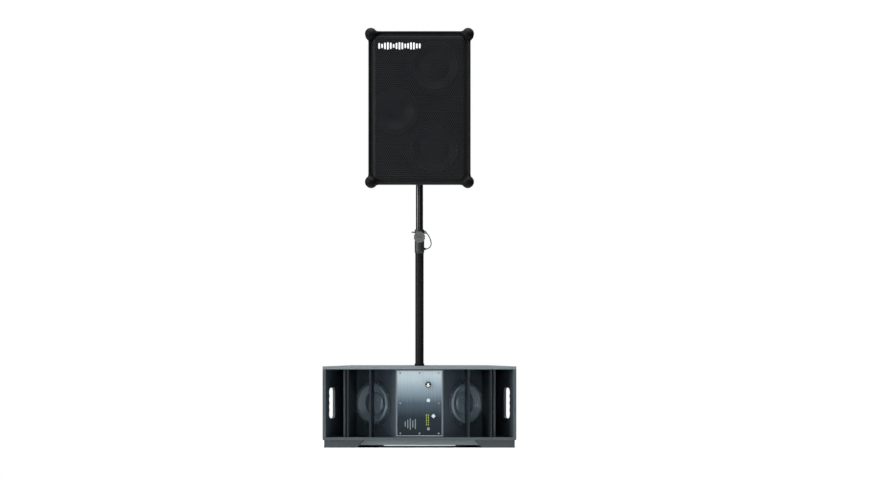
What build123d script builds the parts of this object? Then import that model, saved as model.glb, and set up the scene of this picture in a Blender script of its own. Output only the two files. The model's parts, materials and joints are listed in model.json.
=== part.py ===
"""A battery loudspeaker on a telescopic pole that stands on a wide twin-driver subwoofer.

Millimetres, +Z up, the fronts face -Y. The origin is on the floor, under the pole's axis.
"""
import os
from math import asin, cos, radians, sin, tan

from build123d import *

os.makedirs("parts", exist_ok=True)

# Subwoofer cabinet
SUB_WIDTH = 802
SUB_DEPTH = 400
SUB_HEIGHT = 306
PLY = 12
TOE = 16.5  # degrees that each side panel turns in towards the back
SKID_HEIGHT = 31
SKID_WIDTH = 133
SKID_INSET = 6
SKID_SLOPE = 30
SKID_BACK_GAP = 20
RAIL_HEIGHT = 20
RAIL_SHEET = 12
RAIL_INSET = 14

# Hand slots, measured along the side panel
SLOT_WIDTH = 78
SLOT_HEIGHT = 126
SLOT_DEPTH_IN = 98  # slot's centre, from the front
SLOT_CORNER = 18
FINGER_COUNT = 4
FINGER_PITCH = 29
FINGER_RADIUS = 17
FINGER_BITE = 6
SLOT_ROUNDING = 3
IN_THE_FACE = 0.5  # an edge leaning out less than this cosine lies in the panel's face

# Inner walls and vanes of the subwoofer, as plan places: (x, depth from the front)
VANE = 8
OUTER_VANE_X = 297
OUTER_VANE_LENGTH = 150
OUTER_VANE_LEAN = 12
INNER_VANE_X = 204
INNER_VANE_LENGTH = 88
INNER_VANE_LEAN = 8
DUCT_X = 311
DUCT_DEPTH_IN = 65
DUCT_LEAN = 9.8
DUCT_BACK_GAP = 58
BAFFLE_X = 100
BAFFLE_DEPTH_IN = 50
BAFFLE_ANGLE = 41
DRIVER_X = 192

# What every cone driver shares
FLANGE = 5
RIM_SEAT = 8
RIM_INSET = 13  # from the frame's edge to the cut-out
SCREWS_PER_DRIVER = 8
SCREW_CIRCLE_INSET = 6.5
FIRST_SCREW_ANGLE = 22.5
VOICE_COIL_RADIUS = 19
CONE_SKIN = 1.8
ROLL_WIDTH = 12
CAP_SHARE = 0.5  # of the driver's radius
CAP_DOME = 0.3  # rise over radius
CONE_SLOPE = 0.62  # fall over reach
COIL_TOPS = (0.6, 0.55)  # of the cap's rise, on the coil's inner and outer face
BASKET_WALL = 3
COIL_GAP = 1.5
POLE_PLATE_INSET = 8
STEEL_SHARE = 0.2  # of the magnet's length, at each end

# Subwoofer drivers
SUB_DRIVER_RADIUS = 98
SUB_DRIVER_DEPTH = 62
SUB_MAGNET_RADIUS = 60
SUB_MAGNET_LENGTH = 34

# Amplifier in the subwoofer
PLATE_WIDTH = 187
PLATE_HEIGHT = 269
PLATE_SHEET = 3
PLATE_DEPTH_IN = 20
BAY_DEPTH = 80
MODULE_WIDTH = 150
MODULE_HEIGHT = 225
MODULE_DEPTH = 55
KNOB_PLACE = (36, 77)  # places on the plate count from its centre
KNOB_RADIUS = 13.5
KNOB_LENGTH = 15
KNOB_SHAFT = 3
KNOB_CHAMFER = 1.5
POINTER_OUT = 0.6  # of the knob's radius
POINTER_WIDTH = 1.6
POINTER_LENGTH = 0.7  # of the knob's radius
POINTER_SINK = 1.2
MODE_PLACE = (37, 12)
MODE_RADIUS = 7.5
SYNC_PLACE = (58, -53)
SYNC_SIDE = 13
SYNC_TURN = 45
SOCKET_PLACE = (37, -106)
SOCKET_RADIUS = 6.2
METER_PLACE = (33, -69)
METER_COLUMNS = 2
METER_ROWS = 6
METER_PITCH = 8
LIGHT_SIZE = 3.6
BUTTON_TRAVEL = 1.5
BUTTON_PROUD = 3
BUTTON_CHAMFER = 0.8
POCKET_MARGIN = 3
SCREW_RADIUS = 2
SCREW_HEAD = 4
HEAD_HEIGHT = 3
SCREW_INSET = 14
SCREW_ROW_SHARE = 1.5  # the rows stand this much closer to the edge

# Pole
LOWER_TUBE_RADIUS = 17.5
LOWER_TUBE_TOP = 855
TUBE_GAP = 0.5
UPPER_TUBE_FOOT = 480
TUBE_WALL = 2
CUP_DEPTH = 80
CUP_WALL = 3
CUP_FLANGE_RADIUS = 48
CUP_FLANGE = 3
RING_WALL = 2.5
RING_HEIGHT = 10
COLLAR_WALL = 2.5
COLLAR_FOOT = 804
COLLAR_TOP = 904
COLLAR_TAPER = 8
COLLAR_CHAMFER = 1.5
CLAMP_HEIGHT = 872
CLAMP_BOSS_RADIUS = 13
CLAMP_BOSS_LENGTH = 14
CLAMP_KNOB_RADIUS = 24
CLAMP_KNOB_LENGTH = 21
CLAMP_SCREW_RADIUS = 4
CLAMP_FLUTES = 12
CLAMP_FLUTE_RADIUS = 3.5
CLAMP_FLUTE_OUT = 1.5
CLAMP_SLOT_LENGTH = 17
CLAMP_SLOT_WIDTH = 4.5
CLAMP_SLOT_SINK = 3
PIN_HEIGHT = 892
PIN_RADIUS = 3
PIN_HOLE_RADIUS = 3.25
PIN_PITCH = 60
PIN_HOLES_BELOW = 4
PIN_HOLES_ABOVE = 2
PIN_STANDS_OUT = 13
PIN_HEAD_RADIUS = 7
PIN_HEAD_LENGTH = 6
EYE_HEIGHT = 823
EYE_LENGTH = 6
EYE_WIDTH = 8
EYE_RISE = 10
CORD_RADIUS = 2
LANYARD_BENDS = (  # x and height, from the pin's head down to the collar's eye
    (35.5, 882.5),
    (42.5, 869),
    (48, 855.5),
    (49, 842),
    (44.5, 831),
    (35.5, 824.5),
)
LANYARD_DROP = 0.5
BEND_SHARE = 0.45  # of the shorter run beside a bend
ADAPTOR_WALL = 2.5
RUNNING_CLEARANCE = 0.06
FREE_CLEARANCE = 0.3

# Top speaker
BODY_WIDTH = 424
BODY_DEPTH = 300
BODY_FOOT = 1090
BODY_HEIGHT = 636
BODY_WALL = 12
BODY_EDGE_ROUND = 4
FRAME_WIDTH = 10
FRAME_DEPTH = 20
FRAME_CHAMFER = 2.5
GRILLE_SHEET = 1.5
GRILLE_SETBACK = 2
GRILLE_BEVEL = 8
GRILLE_GAP = 0.5
SPEAKER_BAFFLE = 15
WOOFER_RADIUS = 120
WOOFER_DEPTH = 52
WOOFER_MAGNET_RADIUS = 68
WOOFER_MAGNET_LENGTH = 28
WOOFER_X = 64
WOOFER_HEIGHTS = {"lower": 147, "upper": 490}  # above the body's foot
GUIDE_RADIUS = 96
GUIDE_DEPTH = 55
GUIDE_THROAT = 13
GUIDE_SKIN = 4
GUIDE_RIM = 12
GUIDE_LIP = 4
GUIDE_NECK = 24
GUIDE_CURVE = 0.4  # of the depth, where the flare turns
GUIDE_CLEARANCE = 1
GUIDE_HEIGHT = 307
HORN_DRIVER_RADIUS = 45
HORN_DRIVER_LENGTH = 50
HORN_DRIVER_CHAMFER = 4
BUMPER_RADIUS = 25
BUMPER_INSET_X = 10.5
BUMPER_INSET_Y = 10.5
BUMPER_INSET_Z = 11
POLE_SOCKET_DEPTH = 121
POLE_SOCKET_WALL = 6
POLE_SOCKET_FLANGE = 42
HANDLE_WIDTH = 110
HANDLE_HEIGHT = 76
HANDLE_DEPTH = 45
HANDLE_WALL = 3
HANDLE_CENTRE = 500  # above the body's foot
GRIP_RADIUS = 9
GRIP_SETBACK = 3
PANEL_WIDTH = 180
PANEL_HEIGHT = 120
PANEL_DEPTH = 28
PANEL_WALL = 4
PANEL_CENTRE = 470  # above the body's foot
VOLUME_PLACE = (-45, 12)  # places on the control panel count from its centre
VOLUME_RADIUS = 19
VOLUME_LENGTH = 16
VOLUME_CHAMFER = 2
VOLUME_POINTER_WIDTH = 2
VOLUME_POINTER_LENGTH = 0.6  # of the knob's radius
VOLUME_POINTER_SINK = 1.5
POWER_PLACE = (8, 12)
POWER_RADIUS = 9
JACK_PLACES = ((40, 12), (64, 12))
JACK_BODY_RADIUS = 8
JACK_BORE_RADIUS = 3.2
JACK_BORE_DEPTH = 28
JACK_END = 4
BOARD_GAP = 12
BOARD_SHEET = 2
BOARD_MARGINS = (10, 5)  # from the panel's edge, across and up
POST_MARGINS = (15, 10)
POST_RADIUS = 3
FIN_MARGIN = 10
HEAT_SINK_DEPTH = 30
FIN_COUNT = 10
FIN_PITCH = 14
FIN_SHEET = 4
BATTERY_WIDTH = 190
BATTERY_HEIGHT = 120
BATTERY_DEPTH = 78
BATTERY_ROUND = 6
TRAY_WALL = 3
TRAY_GAP = 1
TRAY_CENTRE = 150  # above the body's foot
HATCH_LAP = 12
HATCH_SHEET = 4
LATCH_INSET = 24
LATCH_WIDTH = 20
LATCH_HEIGHT = 50
LATCH_ROUND = 6
LATCH_SINK = 2
HINGE_RADIUS = 3.5
HINGE_PIN_RADIUS = 1.5
HINGE_LUG = 10

# Places that follow from the sizes above
COLLAR_RADIUS = LOWER_TUBE_RADIUS + COLLAR_WALL
UPPER_TUBE_RADIUS = LOWER_TUBE_RADIUS - TUBE_WALL - TUBE_GAP
ADAPTOR_RADIUS = UPPER_TUBE_RADIUS + ADAPTOR_WALL
PIN_LEFT = COLLAR_RADIUS + PIN_STANDS_OUT
SUB_TOP = SKID_HEIGHT + SUB_HEIGHT
INSIDE_FOOT = SKID_HEIGHT + PLY
INSIDE_TOP = SUB_TOP - PLY
SUB_MIDDLE = (INSIDE_FOOT + INSIDE_TOP) / 2
SUB_FRONT = -SUB_DEPTH / 2
BODY_FRONT = -BODY_DEPTH / 2
BODY_BACK = BODY_DEPTH / 2
BODY_TOP = BODY_FOOT + BODY_HEIGHT
BODY_MIDDLE = BODY_FOOT + BODY_HEIGHT / 2


def finish(piece, name):
    """Labels a piece and writes it to its own file."""
    piece.part.label = name
    export_step(piece.part, f"parts/{name}.step")


def facing(y):
    """The upright plane at y whose normal points to the front."""
    return Plane.XZ.offset(-y)


def plan(corners, height):
    """A closed outline in plan, from (x, depth from the subwoofer's front) corners."""
    with BuildSketch(Plane.XY.offset(height)) as outline:
        with BuildLine():
            Polyline([(x, SUB_FRONT + depth) for x, depth in corners], close=True)
        make_face()
    return outline.sketch


def leaning(x, depth_in, length, lean, thickness, side):
    """Corners of a board that leans in towards the back, its front edge centred at x."""
    half = thickness / 2 / cos(radians(lean))
    shift = length * tan(radians(lean))
    ends = ((x, depth_in), (x - shift, depth_in + length))
    (x0, d0), (x1, d1) = ends
    return [
        (side * (x0 - half), d0),
        (side * (x0 + half), d0),
        (side * (x1 + half), d1),
        (side * (x1 - half), d1),
    ]


def side_outer(depth):
    """Half the cabinet's width at a depth."""
    return SUB_WIDTH / 2 - depth * tan(radians(TOE))


def side_inner(depth):
    """The inner face of a side panel at a depth."""
    return side_outer(depth) - PLY / cos(radians(TOE))


SIDES = {"left": -1, "right": 1}
skids = []

# ---------------------------------------------------------------- subwoofer cabinet
for name, foot in (("sub_bottom_panel", SKID_HEIGHT), ("sub_top_panel", INSIDE_TOP)):
    with BuildPart() as board:
        outline = [
            (-side_outer(0), 0),
            (side_outer(0), 0),
            (side_outer(SUB_DEPTH), SUB_DEPTH),
            (-side_outer(SUB_DEPTH), SUB_DEPTH),
        ]
        extrude(plan(outline, foot), amount=PLY)
        if name == "sub_top_panel":
            with Locations((0, 0, SUB_TOP)):
                Cylinder(
                    CUP_FLANGE_RADIUS,
                    CUP_FLANGE,
                    align=(Align.CENTER, Align.CENTER, Align.MAX),
                    mode=Mode.SUBTRACT,
                )
            with Locations((0, 0, SUB_TOP)):
                Hole(LOWER_TUBE_RADIUS + RUNNING_CLEARANCE + CUP_WALL)
    finish(board, name)

with BuildPart() as back_panel:
    inner_face = SUB_DEPTH - PLY
    outline = [
        (-side_inner(inner_face), inner_face),
        (side_inner(inner_face), inner_face),
        (side_inner(SUB_DEPTH), SUB_DEPTH),
        (-side_inner(SUB_DEPTH), SUB_DEPTH),
    ]
    extrude(plan(outline, INSIDE_FOOT), amount=INSIDE_TOP - INSIDE_FOOT)
finish(back_panel, "sub_back_panel")

for word, side in SIDES.items():
    with BuildPart() as side_panel:
        outline = [
            (side * side_outer(0), 0),
            (side * side_outer(SUB_DEPTH), SUB_DEPTH),
            (side * side_inner(SUB_DEPTH), SUB_DEPTH),
            (side * side_inner(0), 0),
        ]
        extrude(plan(outline, INSIDE_FOOT), amount=INSIDE_TOP - INSIDE_FOOT)
        slot_middle = (side * side_outer(SLOT_DEPTH_IN), SUB_FRONT + SLOT_DEPTH_IN, SUB_MIDDLE)
        outward = (side * cos(radians(TOE)), sin(radians(TOE)), 0)
        backward = (-side * sin(radians(TOE)), cos(radians(TOE)), 0)
        outer_face = Plane(origin=slot_middle, x_dir=backward, z_dir=outward)
        with BuildSketch(outer_face):
            RectangleRounded(SLOT_WIDTH, SLOT_HEIGHT, SLOT_CORNER)
            finger_line = -SLOT_WIDTH / 2 + FINGER_RADIUS - FINGER_BITE
            with Locations((finger_line, 0)):
                with GridLocations(0, FINGER_PITCH, 1, FINGER_COUNT):
                    Circle(FINGER_RADIUS)
        extrude(amount=PLY, both=True, mode=Mode.SUBTRACT)
        slot_edges = side_panel.edges(Select.LAST)
        mouths = [e for e in slot_edges if abs(e.tangent_at(0).dot(Vector(outward))) < IN_THE_FACE]
        fillet(mouths, SLOT_ROUNDING)
    finish(side_panel, f"sub_side_panel_{word}")

    with BuildPart() as outer_vane:
        board = leaning(OUTER_VANE_X, 0, OUTER_VANE_LENGTH, OUTER_VANE_LEAN, VANE, side)
        extrude(plan(board, INSIDE_FOOT), amount=INSIDE_TOP - INSIDE_FOOT)
    finish(outer_vane, f"outer_vane_{word}")

    with BuildPart() as inner_vane:
        board = leaning(INNER_VANE_X, 0, INNER_VANE_LENGTH, INNER_VANE_LEAN, VANE, side)
        extrude(plan(board, INSIDE_FOOT), amount=INSIDE_TOP - INSIDE_FOOT)
    finish(inner_vane, f"inner_vane_{word}")

    with BuildPart() as chamber_wall:
        duct_length = SUB_DEPTH - PLY - DUCT_BACK_GAP - DUCT_DEPTH_IN
        board = leaning(DUCT_X, DUCT_DEPTH_IN, duct_length, DUCT_LEAN, VANE, side)
        extrude(plan(board, INSIDE_FOOT), amount=INSIDE_TOP - INSIDE_FOOT)
    finish(chamber_wall, f"chamber_wall_{word}")

    with BuildPart() as skid:
        outer = SUB_WIDTH / 2 - SKID_INSET
        inner = outer - SKID_WIDTH
        with BuildSketch(facing(SUB_FRONT + SKID_INSET)):
            with BuildLine():
                Polyline(
                    (side * outer, 0),
                    (side * inner, 0),
                    (side * (inner - SKID_SLOPE), SKID_HEIGHT),
                    (side * outer, SKID_HEIGHT),
                    close=True,
                )
            make_face()
        run = SUB_DEPTH - SKID_INSET - SKID_BACK_GAP
        along = Vector(-side * tan(radians(TOE)), 1, 0)
        extrude(amount=run * along.length, dir=along)
    finish(skid, f"skid_{word}")
    skids.append(skid.part)

with BuildPart() as plinth_rail:
    with BuildSketch(facing(SUB_FRONT + SKID_INSET + RAIL_INSET + RAIL_SHEET)):
        with Locations((0, SKID_HEIGHT)):
            Rectangle(
                SUB_WIDTH - 2 * (SKID_INSET + SKID_WIDTH),
                RAIL_HEIGHT,
                align=(Align.CENTER, Align.MAX),
            )
    extrude(amount=RAIL_SHEET)
    for skid in skids:
        add(skid, mode=Mode.SUBTRACT)
finish(plinth_rail, "plinth_rail")

# ---------------------------------------------------------------- angled baffles and drivers


def baffle_depth(x):
    """The depth of a baffle's front face at x."""
    return BAFFLE_DEPTH_IN + (x - BAFFLE_X) * tan(radians(BAFFLE_ANGLE))


def baffle_reach(behind):
    """Where a line behind a baffle's front face meets the duct wall's inner face."""
    slope = tan(radians(BAFFLE_ANGLE))
    lean = tan(radians(DUCT_LEAN))
    wall_face = DUCT_X - VANE / 2 / cos(radians(DUCT_LEAN))
    start = BAFFLE_DEPTH_IN + behind / cos(radians(BAFFLE_ANGLE))
    x = wall_face - lean * (start - DUCT_DEPTH_IN - BAFFLE_X * slope)
    x /= 1 + lean * slope
    return x, start + (x - BAFFLE_X) * slope


def driver_plane(centre, front):
    """An upright plane through a driver's axis: x is its radius, y points to its front."""
    return Plane(origin=centre, x_dir=(0, 0, 1), z_dir=Vector(0, 0, 1).cross(Vector(front)))


def ring_profile(plane, corners):
    """A closed section from (radius, height) corners on a driver's plane."""
    with BuildSketch(plane) as section:
        with BuildLine():
            Polyline(corners, close=True)
        make_face()
    return section.sketch


def driver_basket(name, centre, front, radius, depth, magnet_radius, magnet_length):
    """The cast frame of a cone driver, with the ring magnet bonded to its back."""
    plane = driver_plane(centre, front)
    cutout = radius - RIM_INSET
    back_radius = magnet_radius - POLE_PLATE_INSET
    with BuildPart() as basket:
        section = [
            (radius, 0),
            (radius, FLANGE),
            (cutout, FLANGE),
            (cutout, 2),
            (cutout - RIM_SEAT, 2),
            (cutout - RIM_SEAT, -1),
            (back_radius - BASKET_WALL, BASKET_WALL - depth),
            (VOICE_COIL_RADIUS + COIL_GAP, BASKET_WALL - depth),
            (VOICE_COIL_RADIUS + COIL_GAP, -depth),
            (back_radius, -depth),
            (cutout - 1, 0),
        ]
        revolve(ring_profile(plane, section), axis=Axis(centre, front))
        steel = magnet_length * STEEL_SHARE
        magnet = [
            (0, -depth),
            (back_radius, -depth),
            (back_radius, -depth - steel),
            (magnet_radius, -depth - steel),
            (magnet_radius, steel - depth - magnet_length),
            (back_radius, steel - depth - magnet_length),
            (back_radius, -depth - magnet_length),
            (0, -depth - magnet_length),
        ]
        revolve(ring_profile(plane, magnet), axis=Axis(centre, front))
        with BuildSketch(Plane(origin=centre, x_dir=(0, 0, 1), z_dir=front)):
            with PolarLocations(screw_circle(radius), SCREWS_PER_DRIVER, start_angle=FIRST_SCREW_ANGLE):
                Circle(SCREW_RADIUS)
        extrude(amount=FLANGE, mode=Mode.SUBTRACT)
    finish(basket, name)


def screw_circle(radius):
    """The circle that a driver's screws stand on."""
    return radius - SCREW_CIRCLE_INSET


def driver_cone(name, centre, front, radius, depth):
    """Surround, cone, dust cap and voice coil, glued to each other as one moving piece."""
    plane = driver_plane(centre, front)
    rim = radius - RIM_INSET
    roll_out = rim - RIM_SEAT / 2
    roll_in = roll_out - ROLL_WIDTH
    roll_middle = (roll_out + roll_in) / 2
    cap = radius * CAP_SHARE
    fall = (roll_in - cap) * CONE_SLOPE
    seat = 2
    face = seat + CONE_SKIN
    cap_rise = cap * CAP_DOME
    cap_round = (cap**2 + cap_rise**2) / (2 * cap_rise)
    half_turn = asin(cap / cap_round) / 2
    cap_middle = (
        cap_round * sin(half_turn),
        face - fall + cap_rise - cap_round * (1 - cos(half_turn)),
    )
    with BuildPart() as cone:
        with BuildSketch(plane):
            with BuildLine():
                Line((rim, seat), (rim, face))
                Line((rim, face), (roll_out, face))
                ThreePointArc(
                    (roll_out, face), (roll_middle, face + ROLL_WIDTH / 2), (roll_in, face)
                )
                Line((roll_in, face), (cap, face - fall))
                ThreePointArc((cap, face - fall), cap_middle, (0, face - fall + cap_rise))
                Polyline(
                    (0, face - fall + cap_rise),
                    (0, seat - fall + cap_rise),
                    (VOICE_COIL_RADIUS - 1, seat - fall + cap_rise * COIL_TOPS[0]),
                    (VOICE_COIL_RADIUS - 1, 1 - depth),
                    (VOICE_COIL_RADIUS, 1 - depth),
                    (VOICE_COIL_RADIUS, seat - fall + cap_rise * COIL_TOPS[1]),
                    (cap - 1, seat - fall),
                    (roll_in + CONE_SKIN, seat),
                )
                ThreePointArc(
                    (roll_in + CONE_SKIN, seat),
                    (roll_middle, seat + ROLL_WIDTH / 2 - CONE_SKIN / 2),
                    (roll_out - CONE_SKIN, seat),
                )
                Line((roll_out - CONE_SKIN, seat), (rim, seat))
            make_face()
        revolve(axis=Axis(centre, front))
    finish(cone, name)


sub_screw_planes = []
for word, side in SIDES.items():
    centre = (side * DRIVER_X, SUB_FRONT + baffle_depth(DRIVER_X), SUB_MIDDLE - 2)
    front = (side * sin(radians(BAFFLE_ANGLE)), -cos(radians(BAFFLE_ANGLE)), 0)
    driver_face = Plane(origin=centre, x_dir=(0, 0, 1), z_dir=front)
    sub_screw_planes.append(driver_face)
    with BuildPart() as baffle:
        far_front = baffle_reach(0)
        far_back = baffle_reach(PLY)
        step = PLY / cos(radians(BAFFLE_ANGLE))
        outline = [
            (side * BAFFLE_X, BAFFLE_DEPTH_IN),
            (side * far_front[0], far_front[1]),
            (side * far_back[0], far_back[1]),
            (side * BAFFLE_X, BAFFLE_DEPTH_IN + step),
        ]
        extrude(plan(outline, INSIDE_FOOT), amount=INSIDE_TOP - INSIDE_FOOT)
        with BuildSketch(driver_face):
            Circle(SUB_DRIVER_RADIUS - RIM_INSET)
            with PolarLocations(
                screw_circle(SUB_DRIVER_RADIUS), SCREWS_PER_DRIVER, start_angle=FIRST_SCREW_ANGLE
            ):
                Circle(SCREW_RADIUS)
        extrude(amount=-PLY, mode=Mode.SUBTRACT)
    finish(baffle, f"sub_baffle_{word}")
    driver_basket(
        f"sub_basket_{word}",
        centre,
        front,
        SUB_DRIVER_RADIUS,
        SUB_DRIVER_DEPTH,
        SUB_MAGNET_RADIUS,
        SUB_MAGNET_LENGTH,
    )
    driver_cone(f"sub_cone_{word}", centre, front, SUB_DRIVER_RADIUS, SUB_DRIVER_DEPTH)

# ---------------------------------------------------------------- amplifier in the subwoofer
plate_front = SUB_FRONT + PLATE_DEPTH_IN
plate_back = plate_front + PLATE_SHEET


def on_plate(place):
    """A place counted from the plate's centre, as x and z."""
    return (place[0], SUB_MIDDLE + place[1])


screw_x = PLATE_WIDTH / 2 - SCREW_INSET
screw_z = PLATE_HEIGHT / 2 - SCREW_INSET / SCREW_ROW_SHARE
plate_screw_places = [on_plate((x, z)) for x in (-screw_x, screw_x) for z in (-screw_z, 0, screw_z)]
plate_screw_places += [on_plate((0, z)) for z in (-screw_z, screw_z)]

with BuildPart() as amp_bay:
    with BuildSketch(facing(plate_back)):
        with Locations((0, SUB_MIDDLE)):
            Rectangle(2 * BAFFLE_X, INSIDE_TOP - INSIDE_FOOT)
    extrude(amount=-BAY_DEPTH)
    with BuildSketch(facing(plate_back)):
        with Locations((0, SUB_MIDDLE)):
            Rectangle(2 * (BAFFLE_X - PLY), INSIDE_TOP - INSIDE_FOOT - PLY)
    extrude(amount=PLY - BAY_DEPTH, mode=Mode.SUBTRACT)
finish(amp_bay, "amp_bay")

with BuildPart() as amp_plate:
    with BuildSketch(facing(plate_back)):
        with Locations((0, SUB_MIDDLE)):
            Rectangle(PLATE_WIDTH, PLATE_HEIGHT)
        with Locations(on_plate(KNOB_PLACE)):
            Circle(KNOB_SHAFT + RUNNING_CLEARANCE, mode=Mode.SUBTRACT)
        with Locations(on_plate(MODE_PLACE)):
            Circle(MODE_RADIUS + FREE_CLEARANCE, mode=Mode.SUBTRACT)
        with Locations(on_plate(SYNC_PLACE)):
            opening = SYNC_SIDE + 2 * FREE_CLEARANCE
            Rectangle(opening, opening, rotation=SYNC_TURN, mode=Mode.SUBTRACT)
        with Locations(on_plate(SOCKET_PLACE)):
            Circle(SOCKET_RADIUS, mode=Mode.SUBTRACT)
    extrude(amount=PLATE_SHEET)
finish(amp_plate, "amp_plate")

with BuildPart() as amp_module:
    with BuildSketch(facing(plate_back)):
        with Locations((0, SUB_MIDDLE)):
            Rectangle(MODULE_WIDTH, MODULE_HEIGHT)
        with Locations(on_plate(KNOB_PLACE)):
            Circle(KNOB_SHAFT + RUNNING_CLEARANCE, mode=Mode.SUBTRACT)
    extrude(amount=-MODULE_DEPTH)
    pocket = 2 * (MODE_RADIUS + POCKET_MARGIN)
    with BuildSketch(facing(plate_back)):
        with Locations(on_plate(MODE_PLACE), on_plate(SYNC_PLACE)):
            Rectangle(pocket, pocket)
        with Locations(on_plate(SOCKET_PLACE)):
            Circle(SOCKET_RADIUS)
    extrude(amount=-MODULE_DEPTH / 2, mode=Mode.SUBTRACT)
finish(amp_module, "amp_module")

with BuildPart() as screws:
    for driver_face in sub_screw_planes:
        with BuildSketch(driver_face.offset(FLANGE)):
            with PolarLocations(
                screw_circle(SUB_DRIVER_RADIUS), SCREWS_PER_DRIVER, start_angle=FIRST_SCREW_ANGLE
            ):
                Circle(SCREW_HEAD)
        extrude(amount=HEAD_HEIGHT)
        with BuildSketch(driver_face.offset(FLANGE)):
            with PolarLocations(
                screw_circle(SUB_DRIVER_RADIUS), SCREWS_PER_DRIVER, start_angle=FIRST_SCREW_ANGLE
            ):
                Circle(SCREW_RADIUS)
        extrude(amount=-(FLANGE + PLY))
    with BuildSketch(facing(plate_front)):
        with Locations(plate_screw_places):
            Circle(SCREW_HEAD)
    extrude(amount=HEAD_HEIGHT)
finish(screws, "screws")

with BuildPart() as level_knob:
    with BuildSketch(facing(plate_front - FREE_CLEARANCE)):
        with Locations(on_plate(KNOB_PLACE)):
            Circle(KNOB_RADIUS)
    extrude(amount=KNOB_LENGTH)
    front_rim = level_knob.edges().filter_by(GeomType.CIRCLE).sort_by(Axis.Y)[0]
    chamfer(front_rim, KNOB_CHAMFER)
    with BuildSketch(facing(plate_front - FREE_CLEARANCE - KNOB_LENGTH)):
        with Locations(on_plate((KNOB_PLACE[0], KNOB_PLACE[1] + KNOB_RADIUS * POINTER_OUT))):
            Rectangle(POINTER_WIDTH, KNOB_RADIUS * POINTER_LENGTH)
    extrude(amount=-POINTER_SINK, mode=Mode.SUBTRACT)
    with BuildSketch(facing(plate_front - FREE_CLEARANCE)):
        with Locations(on_plate(KNOB_PLACE)):
            Circle(KNOB_SHAFT)
    extrude(amount=-(PLATE_SHEET + MODULE_DEPTH / 2))
finish(level_knob, "level_knob")

with BuildPart() as mode_button:
    with BuildSketch(facing(plate_front - BUTTON_PROUD)):
        with Locations(on_plate(MODE_PLACE)):
            Circle(MODE_RADIUS)
    extrude(amount=-(BUTTON_PROUD + PLATE_SHEET + 2))
    chamfer(mode_button.edges().filter_by(GeomType.CIRCLE).sort_by(Axis.Y)[0], BUTTON_CHAMFER)
finish(mode_button, "mode_button")

with BuildPart() as sync_button:
    with BuildSketch(facing(plate_front - BUTTON_PROUD)):
        with Locations(on_plate(SYNC_PLACE)):
            Rectangle(SYNC_SIDE, SYNC_SIDE, rotation=SYNC_TURN)
    extrude(amount=-(BUTTON_PROUD + PLATE_SHEET + 2))
finish(sync_button, "sync_button")

with BuildPart() as level_meter:
    with BuildSketch(facing(plate_front)):
        with Locations(on_plate(METER_PLACE)):
            with GridLocations(METER_PITCH, METER_PITCH, METER_COLUMNS, METER_ROWS):
                Rectangle(LIGHT_SIZE, LIGHT_SIZE)
    extrude(amount=1)
finish(level_meter, "level_meter")

with BuildPart() as input_socket:
    with BuildSketch(facing(plate_front - 2)):
        with Locations(on_plate(SOCKET_PLACE)):
            Circle(SOCKET_RADIUS)
    extrude(amount=-(2 + PLATE_SHEET + MODULE_DEPTH / 2))
    with BuildSketch(facing(plate_front - 2)):
        with Locations(on_plate(SOCKET_PLACE)):
            Circle(JACK_BORE_RADIUS)
    extrude(amount=-JACK_BORE_DEPTH, mode=Mode.SUBTRACT)
finish(input_socket, "input_socket")

# ---------------------------------------------------------------- pole
cup_bore = LOWER_TUBE_RADIUS + RUNNING_CLEARANCE
cup_foot = SUB_TOP - CUP_DEPTH
with BuildPart() as pole_cup:
    with BuildSketch(Plane.XY.offset(cup_foot - CUP_WALL)):
        Circle(cup_bore + CUP_WALL)
    extrude(amount=CUP_DEPTH + CUP_WALL)
    with BuildSketch(Plane.XY.offset(SUB_TOP - CUP_FLANGE)):
        Circle(CUP_FLANGE_RADIUS)
    extrude(amount=CUP_FLANGE)
    with BuildSketch(Plane.XY.offset(cup_foot)):
        Circle(cup_bore)
    extrude(amount=CUP_DEPTH, mode=Mode.SUBTRACT)
finish(pole_cup, "pole_cup")

with BuildPart() as stop_ring:
    with BuildSketch(Plane.XY.offset(SUB_TOP)):
        Circle(LOWER_TUBE_RADIUS + RING_WALL)
        Circle(LOWER_TUBE_RADIUS, mode=Mode.SUBTRACT)
    extrude(amount=RING_HEIGHT)
    chamfer(stop_ring.edges().group_by(Axis.Z)[-1].sort_by(SortBy.RADIUS)[-1], 1)
finish(stop_ring, "stop_ring")

with BuildPart() as lower_tube:
    with BuildSketch(Plane.XY.offset(cup_foot)):
        Circle(LOWER_TUBE_RADIUS)
        Circle(LOWER_TUBE_RADIUS - TUBE_WALL, mode=Mode.SUBTRACT)
    extrude(amount=LOWER_TUBE_TOP - cup_foot)
finish(lower_tube, "lower_tube")

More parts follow.
